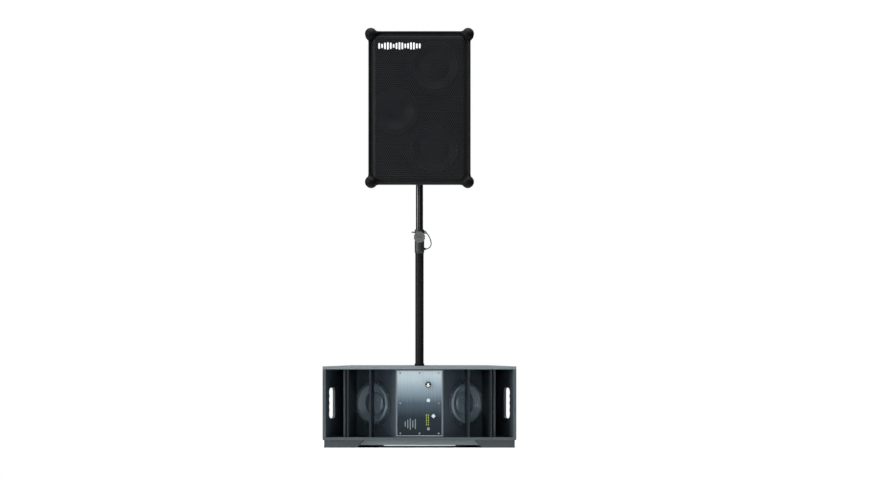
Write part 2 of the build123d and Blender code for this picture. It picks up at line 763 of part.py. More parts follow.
boss_front = -(COLLAR_RADIUS + CLAMP_BOSS_LENGTH)
with BuildPart() as clamp_collar:
    with BuildSketch(Plane.XY.offset(COLLAR_FOOT)):
        Circle(COLLAR_RADIUS)
    extrude(amount=COLLAR_TOP - COLLAR_FOOT)
    chamfer(clamp_collar.edges().group_by(Axis.Z)[0], COLLAR_TAPER, 2)
    chamfer(clamp_collar.edges().group_by(Axis.Z)[-1], COLLAR_CHAMFER)
    with BuildSketch(facing(boss_front)):
        with Locations((0, CLAMP_HEIGHT)):
            Circle(CLAMP_BOSS_RADIUS)
    extrude(amount=boss_front)
    with BuildSketch(Plane.YZ):
        with Locations((0, EYE_HEIGHT)):
            Rectangle(EYE_WIDTH, EYE_RISE)
    extrude(amount=COLLAR_RADIUS + EYE_LENGTH)
    with BuildSketch(Plane.XY.offset(COLLAR_FOOT)):
        Circle(LOWER_TUBE_RADIUS)
    extrude(amount=LOWER_TUBE_TOP - COLLAR_FOOT, mode=Mode.SUBTRACT)
    with BuildSketch(Plane.XY.offset(LOWER_TUBE_TOP)):
        Circle(UPPER_TUBE_RADIUS + RUNNING_CLEARANCE)
    extrude(amount=COLLAR_TOP - LOWER_TUBE_TOP, mode=Mode.SUBTRACT)
    with BuildSketch(facing(boss_front)):
        with Locations((0, CLAMP_HEIGHT)):
            Circle(CLAMP_SCREW_RADIUS + RUNNING_CLEARANCE)
    extrude(amount=boss_front, mode=Mode.SUBTRACT)
    with BuildSketch(Plane.YZ):
        with Locations((0, PIN_HEIGHT)):
            Circle(PIN_RADIUS + RUNNING_CLEARANCE)
    extrude(amount=COLLAR_RADIUS + 1, both=True, mode=Mode.SUBTRACT)
finish(clamp_collar, "clamp_collar")

knob_back = boss_front - FREE_CLEARANCE
with BuildPart() as clamp_knob:
    with BuildSketch(facing(knob_back)):
        with Locations((0, CLAMP_HEIGHT)):
            Circle(CLAMP_KNOB_RADIUS)
            with PolarLocations(CLAMP_KNOB_RADIUS + CLAMP_FLUTE_OUT, CLAMP_FLUTES):
                Circle(CLAMP_FLUTE_RADIUS, mode=Mode.SUBTRACT)
    extrude(amount=CLAMP_KNOB_LENGTH)
    with BuildSketch(facing(knob_back - CLAMP_KNOB_LENGTH)):
        with Locations((0, CLAMP_HEIGHT)):
            SlotOverall(CLAMP_SLOT_LENGTH, CLAMP_SLOT_WIDTH)
    extrude(amount=-CLAMP_SLOT_SINK, mode=Mode.SUBTRACT)
    screw_tip = UPPER_TUBE_RADIUS + FREE_CLEARANCE
    with BuildSketch(facing(knob_back)):
        with Locations((0, CLAMP_HEIGHT)):
            Circle(CLAMP_SCREW_RADIUS)
    extrude(amount=knob_back + screw_tip)
finish(clamp_knob, "clamp_knob")

head_back = COLLAR_RADIUS + FREE_CLEARANCE
head_face = head_back + PIN_HEAD_LENGTH
with BuildPart() as lock_pin:
    with BuildSketch(Plane.YZ.offset(-PIN_LEFT)):
        with Locations((0, PIN_HEIGHT)):
            Circle(PIN_RADIUS)
    extrude(amount=PIN_LEFT + head_face)
    chamfer(lock_pin.edges().sort_by(Axis.X)[0], 1)
    with BuildSketch(Plane.YZ.offset(head_back)):
        with Locations((0, PIN_HEIGHT)):
            Circle(PIN_HEAD_RADIUS)
    extrude(amount=PIN_HEAD_LENGTH)
finish(lock_pin, "lock_pin")

# The lanyard's route, as (x, height), from the pin's head down to the collar's eye
eye_face = COLLAR_RADIUS + EYE_LENGTH
lanyard_route = [
    (head_face, PIN_HEIGHT),
    *LANYARD_BENDS,
    (eye_face + 3 * FREE_CLEARANCE, EYE_HEIGHT - LANYARD_DROP),
]


def corner_radii(points):
    """The largest arcs that a route's corners have room for."""
    radii = []
    for before, corner, after in zip(points, points[1:], points[2:]):
        run_in = Vector(*corner) - Vector(*before)
        run_out = Vector(*after) - Vector(*corner)
        turn = radians(run_in.get_angle(run_out))
        radii.append(BEND_SHARE * min(run_in.length, run_out.length) / tan(turn / 2))
    return radii


lanyard_radii = corner_radii(lanyard_route)
print("lanyard radii", [round(radius, 1) for radius in lanyard_radii])
with BuildPart() as pin_lanyard:
    with BuildLine(Plane.XZ) as lanyard_path:
        FilletPolyline(*lanyard_route, radius=lanyard_radii)
    with BuildSketch(Plane(origin=lanyard_path.line @ 0, z_dir=lanyard_path.line % 0)):
        Circle(CORD_RADIUS)
    sweep()
finish(pin_lanyard, "pin_lanyard")

socket_roof = BODY_FOOT + POLE_SOCKET_DEPTH
upper_top = socket_roof - FREE_CLEARANCE
with BuildPart() as upper_tube:
    with BuildSketch(Plane.XY.offset(UPPER_TUBE_FOOT)):
        Circle(UPPER_TUBE_RADIUS)
        Circle(UPPER_TUBE_RADIUS - TUBE_WALL, mode=Mode.SUBTRACT)
    extrude(amount=upper_top - UPPER_TUBE_FOOT)
    for step in range(-PIN_HOLES_BELOW, PIN_HOLES_ABOVE + 1):
        with BuildSketch(Plane.YZ):
            with Locations((0, PIN_HEIGHT + step * PIN_PITCH)):
                Circle(PIN_HOLE_RADIUS)
        extrude(amount=UPPER_TUBE_RADIUS + 1, both=True, mode=Mode.SUBTRACT)
finish(upper_tube, "upper_tube")

with BuildPart() as pole_adaptor:
    with BuildSketch(Plane.XY.offset(BODY_FOOT + 1)):
        Circle(ADAPTOR_RADIUS)
        Circle(UPPER_TUBE_RADIUS, mode=Mode.SUBTRACT)
    extrude(amount=upper_top - BODY_FOOT - 1)
finish(pole_adaptor, "pole_adaptor")

# ---------------------------------------------------------------- top speaker
shell_front = BODY_FRONT + FRAME_DEPTH
socket_radius = ADAPTOR_RADIUS + RUNNING_CLEARANCE + POLE_SOCKET_WALL
panel_middle = BODY_FOOT + PANEL_CENTRE
tray_middle = BODY_FOOT + TRAY_CENTRE
handle_middle = BODY_FOOT + HANDLE_CENTRE
tray_width = BATTERY_WIDTH + 2 * (TRAY_WALL + TRAY_GAP)
tray_height = BATTERY_HEIGHT + 2 * (TRAY_WALL + TRAY_GAP)
tray_depth = BATTERY_DEPTH + TRAY_WALL + TRAY_GAP

with BuildPart() as cabinet_shell:
    with BuildSketch(facing(shell_front)):
        with Locations((0, BODY_MIDDLE)):
            Rectangle(BODY_WIDTH, BODY_HEIGHT)
    extrude(amount=shell_front - BODY_BACK)
    fillet(cabinet_shell.edges().filter_by(Axis.Y), BODY_EDGE_ROUND)
    with BuildSketch(facing(shell_front)):
        with Locations((0, BODY_MIDDLE)):
            Rectangle(BODY_WIDTH - 2 * BODY_WALL, BODY_HEIGHT - 2 * BODY_WALL)
    extrude(amount=shell_front - BODY_BACK + BODY_WALL, mode=Mode.SUBTRACT)
    with BuildSketch(Plane.YZ):
        with Locations((0, handle_middle)):
            Rectangle(HANDLE_WIDTH, HANDLE_HEIGHT)
    extrude(amount=BODY_WIDTH, both=True, mode=Mode.SUBTRACT)
    with BuildSketch(Plane.XY.offset(BODY_FOOT)):
        Circle(socket_radius)
    extrude(amount=BODY_WALL, mode=Mode.SUBTRACT)
    with BuildSketch(facing(BODY_BACK)):
        with Locations((0, panel_middle)):
            Rectangle(PANEL_WIDTH, PANEL_HEIGHT)
    extrude(amount=BODY_WALL, mode=Mode.SUBTRACT)
    with BuildSketch(facing(BODY_BACK)):
        with Locations((0, tray_middle)):
            Rectangle(tray_width, tray_height)
    extrude(amount=tray_depth)
    with BuildSketch(facing(BODY_BACK)):
        with Locations((0, tray_middle)):
            Rectangle(tray_width - 2 * TRAY_WALL, tray_height - 2 * TRAY_WALL)
    extrude(amount=tray_depth - TRAY_WALL, mode=Mode.SUBTRACT)
finish(cabinet_shell, "cabinet_shell")

with BuildPart() as front_frame:
    with BuildSketch(facing(shell_front)):
        with Locations((0, BODY_MIDDLE)):
            RectangleRounded(BODY_WIDTH, BODY_HEIGHT, BODY_EDGE_ROUND)
            opening_width = BODY_WIDTH - 2 * FRAME_WIDTH
            opening_height = BODY_HEIGHT - 2 * FRAME_WIDTH
            Rectangle(opening_width, opening_height, mode=Mode.SUBTRACT)
    extrude(amount=FRAME_DEPTH)
    chamfer(front_frame.faces().sort_by(Axis.Y)[0].outer_wire().edges(), FRAME_CHAMFER)
finish(front_frame, "front_frame")

baffle_front = shell_front + 2
grille_front = BODY_FRONT + GRILLE_SETBACK
with BuildPart() as grille:
    with BuildSketch(facing(baffle_front)):
        with Locations((0, BODY_MIDDLE)):
            grille_width = BODY_WIDTH - 2 * (BODY_WALL + GRILLE_GAP)
            grille_height = BODY_HEIGHT - 2 * (BODY_WALL + GRILLE_GAP)
            Rectangle(grille_width, grille_height)
    extrude(amount=baffle_front - grille_front)
    chamfer(grille.faces().sort_by(Axis.Y)[0].edges(), GRILLE_BEVEL)
    offset(amount=-GRILLE_SHEET, openings=grille.faces().sort_by(Axis.Y)[-1])
finish(grille, "grille")

woofer_places = {
    word: (WOOFER_X, baffle_front, BODY_FOOT + height) for word, height in WOOFER_HEIGHTS.items()
}
guide_x = GUIDE_RADIUS + GUIDE_CLEARANCE + GRILLE_SHEET - grille_width / 2
guide_place = (guide_x, baffle_front, BODY_FOOT + GUIDE_HEIGHT)
guide_cutout = GUIDE_RADIUS - GUIDE_RIM
with BuildPart() as speaker_baffle:
    with BuildSketch(facing(baffle_front)):
        with Locations((0, BODY_MIDDLE)):
            Rectangle(BODY_WIDTH - 2 * BODY_WALL, BODY_HEIGHT - 2 * BODY_WALL)
        for x, _, z in woofer_places.values():
            with Locations((x, z)):
                Circle(WOOFER_RADIUS - RIM_INSET, mode=Mode.SUBTRACT)
        with Locations((guide_place[0], guide_place[2])):
            Circle(guide_cutout, mode=Mode.SUBTRACT)
    extrude(amount=-SPEAKER_BAFFLE)
finish(speaker_baffle, "speaker_baffle")

TO_FRONT = (0, -1, 0)
for word, place in woofer_places.items():
    driver_basket(
        f"woofer_basket_{word}",
        place,
        TO_FRONT,
        WOOFER_RADIUS,
        WOOFER_DEPTH,
        WOOFER_MAGNET_RADIUS,
        WOOFER_MAGNET_LENGTH,
    )
    driver_cone(f"woofer_cone_{word}", place, TO_FRONT, WOOFER_RADIUS, WOOFER_DEPTH)

with BuildPart() as waveguide:
    with BuildSketch(driver_plane(guide_place, TO_FRONT)):
        with BuildLine():
            Line((GUIDE_RADIUS, 0), (GUIDE_RADIUS, FLANGE))
            Line((GUIDE_RADIUS, FLANGE), (guide_cutout - GUIDE_LIP, FLANGE))
            ThreePointArc(
                (guide_cutout - GUIDE_LIP, FLANGE),
                (GUIDE_THROAT + GUIDE_NECK, -GUIDE_DEPTH * GUIDE_CURVE),
                (GUIDE_THROAT, -GUIDE_DEPTH),
            )
            Line((GUIDE_THROAT, -GUIDE_DEPTH), (GUIDE_THROAT + GUIDE_NECK, -GUIDE_DEPTH))
            Line((GUIDE_THROAT + GUIDE_NECK, -GUIDE_DEPTH), (GUIDE_THROAT + GUIDE_NECK, GUIDE_SKIN - GUIDE_DEPTH))
            Line((GUIDE_THROAT + GUIDE_NECK, GUIDE_SKIN - GUIDE_DEPTH), (guide_cutout, -SPEAKER_BAFFLE))
            Line((guide_cutout, -SPEAKER_BAFFLE), (guide_cutout, 0))
            Line((guide_cutout, 0), (GUIDE_RADIUS, 0))
        make_face()
    revolve(axis=Axis(guide_place, TO_FRONT))
finish(waveguide, "waveguide")

with BuildPart() as horn_driver:
    with BuildSketch(facing(baffle_front + GUIDE_DEPTH)):
        with Locations((guide_place[0], guide_place[2])):
            Circle(HORN_DRIVER_RADIUS)
    extrude(amount=-HORN_DRIVER_LENGTH)
    chamfer(horn_driver.edges().filter_by(GeomType.CIRCLE).sort_by(Axis.Y)[-1], HORN_DRIVER_CHAMFER)
finish(horn_driver, "horn_driver")

with BuildPart() as corner_bumpers:
    bumper_x = BODY_WIDTH / 2 - BUMPER_INSET_X
    bumper_y = BODY_DEPTH / 2 - BUMPER_INSET_Y
    bumper_z = BODY_HEIGHT / 2 - BUMPER_INSET_Z
    with Locations((0, 0, BODY_MIDDLE)):
        with GridLocations(2 * bumper_x, 2 * bumper_y, 2, 2):
            with Locations((0, 0, -bumper_z), (0, 0, bumper_z)):
                Sphere(BUMPER_RADIUS)
        Box(BODY_WIDTH, BODY_DEPTH, BODY_HEIGHT, mode=Mode.SUBTRACT)
finish(corner_bumpers, "corner_bumpers")

with BuildPart() as pole_socket:
    with BuildSketch(Plane.XY.offset(BODY_FOOT)):
        Circle(socket_radius)
    extrude(amount=POLE_SOCKET_DEPTH + POLE_SOCKET_WALL)
    with BuildSketch(Plane.XY.offset(BODY_FOOT + BODY_WALL)):
        Circle(POLE_SOCKET_FLANGE)
    extrude(amount=POLE_SOCKET_WALL)
    with BuildSketch(Plane.XY.offset(BODY_FOOT)):
        Circle(ADAPTOR_RADIUS + RUNNING_CLEARANCE)
    extrude(amount=POLE_SOCKET_DEPTH, mode=Mode.SUBTRACT)
finish(pole_socket, "pole_socket")

for word, side in SIDES.items():
    face_x = side * BODY_WIDTH / 2
    with BuildPart() as side_handle:
        with BuildSketch(Plane.YZ.offset(face_x)):
            with Locations((0, handle_middle)):
                Rectangle(HANDLE_WIDTH, HANDLE_HEIGHT)
        extrude(amount=-side * HANDLE_DEPTH)
        with BuildSketch(Plane.YZ.offset(face_x)):
            with Locations((0, handle_middle)):
                Rectangle(HANDLE_WIDTH - 2 * HANDLE_WALL, HANDLE_HEIGHT - 2 * HANDLE_WALL)
        extrude(amount=side * (HANDLE_WALL - HANDLE_DEPTH), mode=Mode.SUBTRACT)
        grip_x = face_x - side * (GRIP_RADIUS + GRIP_SETBACK)
        grip_z = handle_middle + HANDLE_HEIGHT / 2 - GRIP_RADIUS
        with BuildSketch(Plane.XZ):
            with Locations((grip_x, grip_z)):
                Circle(GRIP_RADIUS)
        extrude(amount=HANDLE_WIDTH / 2, both=True)
    finish(side_handle, f"side_handle_{word}")

panel_floor = BODY_BACK - PANEL_DEPTH + PANEL_WALL


def on_panel(place):
    """A place counted from the control panel's centre, as x and z."""
    return (place[0], panel_middle + place[1])


with BuildPart() as control_panel:
    with BuildSketch(facing(BODY_BACK)):
        with Locations((0, panel_middle)):
            Rectangle(PANEL_WIDTH, PANEL_HEIGHT)
    extrude(amount=PANEL_DEPTH)
    with BuildSketch(facing(BODY_BACK)):
        with Locations((0, panel_middle)):
            Rectangle(PANEL_WIDTH - 2 * PANEL_WALL, PANEL_HEIGHT - 2 * PANEL_WALL)
    extrude(amount=PANEL_DEPTH - PANEL_WALL, mode=Mode.SUBTRACT)
    with BuildSketch(facing(panel_floor)):
        with Locations(on_panel(VOLUME_PLACE)):
            Circle(KNOB_SHAFT + RUNNING_CLEARANCE)
        with Locations(on_panel(POWER_PLACE)):
            Circle(POWER_RADIUS + FREE_CLEARANCE)
        with Locations([on_panel(place) for place in JACK_PLACES]):
            Circle(JACK_BODY_RADIUS)
    extrude(amount=PANEL_WALL, mode=Mode.SUBTRACT)
finish(control_panel, "control_panel")

with BuildPart() as volume_knob:
    with BuildSketch(facing(panel_floor + FREE_CLEARANCE)):
        with Locations(on_panel(VOLUME_PLACE)):
            Circle(VOLUME_RADIUS)
    extrude(amount=-VOLUME_LENGTH)
    chamfer(volume_knob.edges().filter_by(GeomType.CIRCLE).sort_by(Axis.Y)[-1], VOLUME_CHAMFER)
    with BuildSketch(facing(panel_floor + FREE_CLEARANCE + VOLUME_LENGTH)):
        with Locations(on_panel((VOLUME_PLACE[0], VOLUME_PLACE[1] + VOLUME_RADIUS * POINTER_OUT))):
            Rectangle(VOLUME_POINTER_WIDTH, VOLUME_RADIUS * VOLUME_POINTER_LENGTH)
    extrude(amount=VOLUME_POINTER_SINK, mode=Mode.SUBTRACT)
    with BuildSketch(facing(panel_floor + FREE_CLEARANCE)):
        with Locations(on_panel(VOLUME_PLACE)):
            Circle(KNOB_SHAFT)
    extrude(amount=PANEL_WALL + FREE_CLEARANCE)
finish(volume_knob, "volume_knob")

with BuildPart() as power_button:
    with BuildSketch(facing(panel_floor + BUTTON_PROUD)):
        with Locations(on_panel(POWER_PLACE)):
            Circle(POWER_RADIUS)
    extrude(amount=BUTTON_PROUD + PANEL_WALL)
    chamfer(power_button.edges().filter_by(GeomType.CIRCLE).sort_by(Axis.Y)[-1], BUTTON_CHAMFER)
finish(power_button, "power_button")

with BuildPart() as jacks:
    for place in JACK_PLACES:
        with BuildSketch(facing(panel_floor + 2)):
            with Locations(on_panel(place)):
                Circle(JACK_BODY_RADIUS)
        extrude(amount=JACK_BORE_DEPTH + JACK_END)
        with BuildSketch(facing(panel_floor + 2)):
            with Locations(on_panel(place)):
                Circle(JACK_BORE_RADIUS)
        extrude(amount=JACK_BORE_DEPTH, mode=Mode.SUBTRACT)
finish(jacks, "jacks")

board_front = BODY_BACK - PANEL_DEPTH - JACK_BORE_DEPTH - BOARD_GAP
with BuildPart() as speaker_amp:
    with BuildSketch(facing(board_front)):
        with Locations((0, panel_middle)):
            Rectangle(PANEL_WIDTH - 2 * BOARD_MARGINS[0], PANEL_HEIGHT - 2 * BOARD_MARGINS[1])
    extrude(amount=BOARD_SHEET)
    with BuildSketch(facing(board_front - BOARD_SHEET)):
        with Locations((0, panel_middle)):
            with GridLocations(FIN_PITCH, 0, FIN_COUNT, 1):
                Rectangle(FIN_SHEET, PANEL_HEIGHT - 2 * FIN_MARGIN)
            Rectangle((FIN_COUNT - 1) * FIN_PITCH + FIN_SHEET, FIN_SHEET)
    extrude(amount=HEAT_SINK_DEPTH)
    with BuildSketch(facing(board_front)):
        post_pitch = (PANEL_WIDTH - 2 * POST_MARGINS[0], PANEL_HEIGHT - 2 * POST_MARGINS[1])
        with GridLocations(*post_pitch, 2, 2):
            with Locations((0, panel_middle)):
                Circle(POST_RADIUS)
    extrude(amount=board_front - BODY_BACK + PANEL_DEPTH)
finish(speaker_amp, "speaker_amp")

with BuildPart() as battery:
    with BuildSketch(facing(BODY_BACK - TRAY_GAP)):
        with Locations((0, tray_middle - TRAY_GAP)):
            Rectangle(BATTERY_WIDTH, BATTERY_HEIGHT)
    extrude(amount=BATTERY_DEPTH)
    fillet(battery.edges().filter_by(Axis.Y), BATTERY_ROUND)
finish(battery, "battery")

hatch_inner = BODY_BACK + FREE_CLEARANCE
hatch_half = tray_width / 2 + HATCH_LAP
hatch_height = tray_height + 2 * HATCH_LAP
hinge_x = -(hatch_half + HINGE_RADIUS)
hinge_y = hatch_inner + HINGE_RADIUS
with BuildPart() as battery_hatch:
    with BuildSketch(facing(hatch_inner)):
        with Locations((0, tray_middle)):
            Rectangle(2 * hatch_half, hatch_height)
    extrude(amount=-HATCH_SHEET)
    with BuildSketch(Plane.XY.offset(tray_middle - hatch_height / 2)):
        with Locations((hinge_x, hinge_y)):
            Circle(HINGE_RADIUS)
        with Locations((hinge_x, hatch_inner)):
            Rectangle(HINGE_RADIUS, HATCH_SHEET, align=(Align.MIN, Align.MIN))
    extrude(amount=hatch_height)
    with BuildSketch(Plane.XY.offset(tray_middle - hatch_height / 2)):
        with Locations((hinge_x, hinge_y)):
            Circle(HINGE_PIN_RADIUS + RUNNING_CLEARANCE)
    extrude(amount=hatch_height, mode=Mode.SUBTRACT)
    with BuildSketch(facing(hatch_inner + HATCH_SHEET)):
        with Locations((hatch_half - LATCH_INSET, tray_middle)):
            RectangleRounded(LATCH_WIDTH, LATCH_HEIGHT, LATCH_ROUND)
    extrude(amount=LATCH_SINK, mode=Mode.SUBTRACT)
finish(battery_hatch, "battery_hatch")

with BuildPart() as hatch_hinge:
    for direction in (-1, 1):
        lug_face = tray_middle + direction * (hatch_height / 2 + FREE_CLEARANCE)
        with BuildSketch(Plane.XY.offset(lug_face)):
            with Locations((hinge_x, BODY_BACK)):
                Rectangle(
                    2 * HINGE_RADIUS, 2 * HINGE_RADIUS, align=(Align.CENTER, Align.MIN)
                )
        extrude(amount=direction * HINGE_LUG)
    with BuildSketch(Plane.XY.offset(tray_middle)):
        with Locations((hinge_x, hinge_y)):
            Circle(HINGE_PIN_RADIUS)
    extrude(amount=hatch_height / 2 + HINGE_LUG, both=True)
finish(hatch_hinge, "hatch_hinge")
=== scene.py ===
# %% [markdown]
# A battery loudspeaker on a telescopic pole, over a wide subwoofer.
# The CAD model gives every part's place. This notebook adds the looks: what each surface is made
# of, and the small shapes that a CAD solid leaves out, such as a perforated sheet's holes.
# Everything is in metres, +Z is up and the fronts face -Y.

import json
import math

import bmesh
import bpy
from mathutils import Matrix, Vector


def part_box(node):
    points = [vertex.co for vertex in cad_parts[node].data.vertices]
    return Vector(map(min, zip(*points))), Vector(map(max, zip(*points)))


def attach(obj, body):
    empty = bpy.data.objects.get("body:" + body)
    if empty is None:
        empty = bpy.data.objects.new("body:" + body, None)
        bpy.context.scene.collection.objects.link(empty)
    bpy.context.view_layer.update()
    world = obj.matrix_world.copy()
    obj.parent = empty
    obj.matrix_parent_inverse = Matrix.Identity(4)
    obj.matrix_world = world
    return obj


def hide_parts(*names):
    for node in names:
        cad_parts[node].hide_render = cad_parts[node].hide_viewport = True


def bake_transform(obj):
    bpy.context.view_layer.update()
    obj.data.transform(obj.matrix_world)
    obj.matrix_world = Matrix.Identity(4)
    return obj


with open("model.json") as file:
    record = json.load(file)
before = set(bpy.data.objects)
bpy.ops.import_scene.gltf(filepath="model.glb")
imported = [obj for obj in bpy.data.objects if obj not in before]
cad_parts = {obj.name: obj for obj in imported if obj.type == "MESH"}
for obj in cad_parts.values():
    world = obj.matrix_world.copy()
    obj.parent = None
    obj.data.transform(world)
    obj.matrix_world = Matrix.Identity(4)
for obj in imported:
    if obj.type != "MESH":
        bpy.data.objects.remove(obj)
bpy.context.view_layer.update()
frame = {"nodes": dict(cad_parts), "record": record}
MM = 0.001


# %% [markdown]
# A few small helpers carry the whole notebook. Colours are picked as sRGB hex values, because that
# is how paint charts give them, but Blender's shaders work in linear light, so one function turns
# them. Node trees are dull to write, so another adds one node with its settings and links. The
# third turns a finished bmesh into an object that sits at the origin, with its place in its mesh,
# and the rest dress such an object, turn millimetres to metres and read a CAD node's corners.

# %% Helpers for colours, nodes and meshes
def linear(hex_colour):
    """A hex colour such as "3f4a50" as linear red, green, blue and alpha."""
    parts = [int(hex_colour[i : i + 2], 16) / 255 for i in (0, 2, 4)]
    return [c / 12.92 if c <= 0.04045 else ((c + 0.055) / 1.055) ** 2.4 for c in parts] + [1.0]


def put(tree, kind, inputs=None, **settings):
    """Adds a node. An input is a value, or another node's output socket, which is linked."""
    node = tree.nodes.new(kind)
    for key, value in settings.items():
        setattr(node, key, value)
    for key, value in (inputs or {}).items():
        if isinstance(value, bpy.types.NodeSocket):
            tree.links.new(value, node.inputs[key])
        else:
            node.inputs[key].default_value = value
    return node


def keep_mesh(name, shape, smooth_angle=30):
    """Writes a bmesh to a new object, smooth except across edges sharper than the angle."""
    mesh = bpy.data.meshes.new(name)
    bmesh.ops.recalc_face_normals(shape, faces=shape.faces)
    shape.to_mesh(mesh)
    shape.free()
    return keep_object(name, mesh, smooth_angle)


def keep_object(name, mesh, smooth_angle=30):
    """Puts a mesh in the scene at the origin."""
    piece = bpy.data.objects.new(name, mesh)
    bpy.context.scene.collection.objects.link(piece)
    mesh.shade_smooth()
    mesh.set_sharp_from_angle(angle=math.radians(smooth_angle))
    return piece


def dress(piece, material, body, slot, *replaced):
    """Gives a piece its material and the body it moves with, and hides the nodes it stands for. The
    slot is not used.
    """
    piece.data.materials.clear()
    piece.data.materials.append(material)
    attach(piece, body)
    if replaced:
        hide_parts(*replaced)
    return piece


def in_mm(profile, lift=0):
    """A profile written as (radius, height) in millimetres, raised by a lift, in metres."""
    return [(across * MM, (up + lift) * MM) for across, up in profile]


def span(node):
    """A CAD node's lowest and highest corner."""
    return tuple(Vector(corner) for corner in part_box(node))


print("a mid grey, turned to linear:", [round(v, 3) for v in linear("808080")])

# %% [markdown]
# The camera stands far away on the object's mid height with a long lens, so that upright edges
# stay parallel, as in a catalogue picture. The lens follows from the distance: the sensor's 36 mm
# cover the width of the view.

# %% Camera
VIEW_WIDTH = 3.648
CAMERA_DISTANCE = 40.0
CAMERA_HEIGHT = 0.858
SENSOR = 36.0
LENS_SHIFT = 0.0217
CLIP_END = 200

lens = bpy.data.cameras.new("long_lens")
lens.sensor_width = SENSOR
lens.lens = SENSOR * CAMERA_DISTANCE / VIEW_WIDTH
lens.shift_x = LENS_SHIFT
lens.clip_end = CLIP_END
camera = bpy.data.objects.new("camera", lens)
camera.location = (0, -CAMERA_DISTANCE, CAMERA_HEIGHT)
camera.rotation_euler = (math.radians(90), 0, 0)
bpy.context.scene.collection.objects.link(camera)
bpy.context.scene.camera = camera
bpy.context.scene.view_settings.view_transform = "Standard"
print("lens", round(lens.lens, 1), "mm")

# %% [markdown]
# Black equipment is lit by what it reflects. The world is a studio that is bright overhead and
# dim all round, so that the blacks stay black, and the eye sees plain white behind the object.
# A wide soft light hangs above, and a window stands to the left. A narrow lamp points low, into
# the subwoofer's mouths, whose drivers would else be lost in shadow.


# %% World, lights and floor
def studio_world():
    """White behind the object, and a soft fall from a bright ceiling for what lights it."""
    world = bpy.data.worlds.new("studio")
    bpy.context.scene.world = world
    world.use_nodes = True
    tree = world.node_tree
    tree.nodes.clear()
    place = put(tree, "ShaderNodeTexCoord")
    height = put(tree, "ShaderNodeSeparateXYZ", {"Vector": place.outputs["Generated"]})
    fall = put(tree, "ShaderNodeMapRange", {"Value": height.outputs["Z"], "From Min": -0.1,
                                            "From Max": 1.0, "To Min": 0.045, "To Max": 0.75})
    around = put(tree, "ShaderNodeBackground", {"Color": linear("eef3f6"),
                                                "Strength": fall.outputs["Result"]})
    behind = put(tree, "ShaderNodeBackground", {"Color": (1, 1, 1, 1), "Strength": 1.0})
    seen = put(tree, "ShaderNodeLightPath")
    both = put(tree, "ShaderNodeMixShader", {0: seen.outputs["Is Camera Ray"],
                                             1: around.outputs[0], 2: behind.outputs[0]})
    put(tree, "ShaderNodeOutputWorld", {"Surface": both.outputs[0]})


def soft_light(name, place, target, size, power, spread=180):
    """A square area light that looks at a point, with its beam's full angle in degrees."""
    light = bpy.data.lights.new(name, "AREA")
    light.size = size
    light.energy = power
    light.spread = math.radians(spread)
    lamp = bpy.data.objects.new(name, light)
    lamp.location = place
    aim = Vector(target) - Vector(place)
    lamp.rotation_euler = aim.to_track_quat("-Z", "Y").to_euler()
    bpy.context.scene.collection.objects.link(lamp)


studio_world()
soft_light("overhead", place=(0, -0.6, 5.0), target=(0, 0, 0), size=5.0, power=420)
soft_light("left_window", place=(-4.2, -2.2, 1.9), target=(0, 0, 1.3), size=2.2, power=210)
soft_light("low_lamp", place=(0, -3.2, 0.75), target=(0, 0, 0.17), size=0.9, power=0.8, spread=34)

FLOOR_RADIUS = 1.7
floor_shape = bmesh.new()
bmesh.ops.create_circle(floor_shape, cap_ends=True, segments=96, radius=FLOOR_RADIUS)
floor = keep_mesh("floor", floor_shape)
print(len(bpy.data.lights), "lights over a floor", 2 * FLOOR_RADIUS, "m across")

# %% [markdown]
# Painted, moulded and powder-coated parts differ in three numbers: colour, how rough the skin is,
# and how coarse its grain. One function makes them all. A fine noise, sized in real millimetres,
# lifts the skin a little, and a slower one shifts its colour and gloss, because no real surface
# is even all over.

# %% A function for coated surfaces
COLOUR_A, COLOUR_B, MIXED = 6, 7, 2  # a Mix node's colour sockets, by number
PATCH_MM = 60
GLOSS_DRIFT = 0.06
GRAIN_STRENGTH = 0.6


def shaded(name):
    """A new material with a Principled shader: returns the material, its tree and the shader."""
    material = bpy.data.materials.new(name)
    material.use_nodes = True
    tree = material.node_tree
    tree.nodes.clear()
    shader = put(tree, "ShaderNodeBsdfPrincipled")
    put(tree, "ShaderNodeOutputMaterial", {"Surface": shader.outputs["BSDF"]})
    return material, tree, shader


def noise(tree, size_mm, detail=3.0, stretch=(1, 1, 1)):
    """Noise whose spots are about that many millimetres across, in object coordinates."""
    place = put(tree, "ShaderNodeTexCoord")
    turned = put(tree, "ShaderNodeMapping", {"Vector": place.outputs["Object"], "Scale": stretch})
    return put(tree, "ShaderNodeTexNoise", {"Vector": turned.outputs["Vector"],
                                            "Scale": 1 / (size_mm * MM), "Detail": detail})


def coat(tree, shader, colour, worn, roughness, grain_mm, lift_mm):
    """Colour, gloss and grain of a coated skin. worn is the lighter colour of its patches."""
    patches = noise(tree, PATCH_MM, 4)
    mix = put(tree, "ShaderNodeMix", {"Factor": patches.outputs["Fac"]}, data_type="RGBA")
    tree.links.new(shader.inputs["Base Color"], mix.outputs[MIXED])
    for key, value in ((COLOUR_A, colour), (COLOUR_B, worn)):
        if isinstance(value, bpy.types.NodeSocket):
            tree.links.new(value, mix.inputs[key])
        else:
            mix.inputs[key].default_value = linear(value)
    gloss = put(tree, "ShaderNodeMapRange", {"Value": patches.outputs["Fac"],
                                             "To Min": roughness - GLOSS_DRIFT,
                                             "To Max": roughness + GLOSS_DRIFT})
    tree.links.new(gloss.outputs["Result"], shader.inputs["Roughness"])
    grain = noise(tree, grain_mm, 2)
    bump = put(tree, "ShaderNodeBump", {"Height": grain.outputs["Fac"], "Strength": GRAIN_STRENGTH,
                                        "Distance": lift_mm * MM})
    tree.links.new(bump.outputs["Normal"], shader.inputs["Normal"])


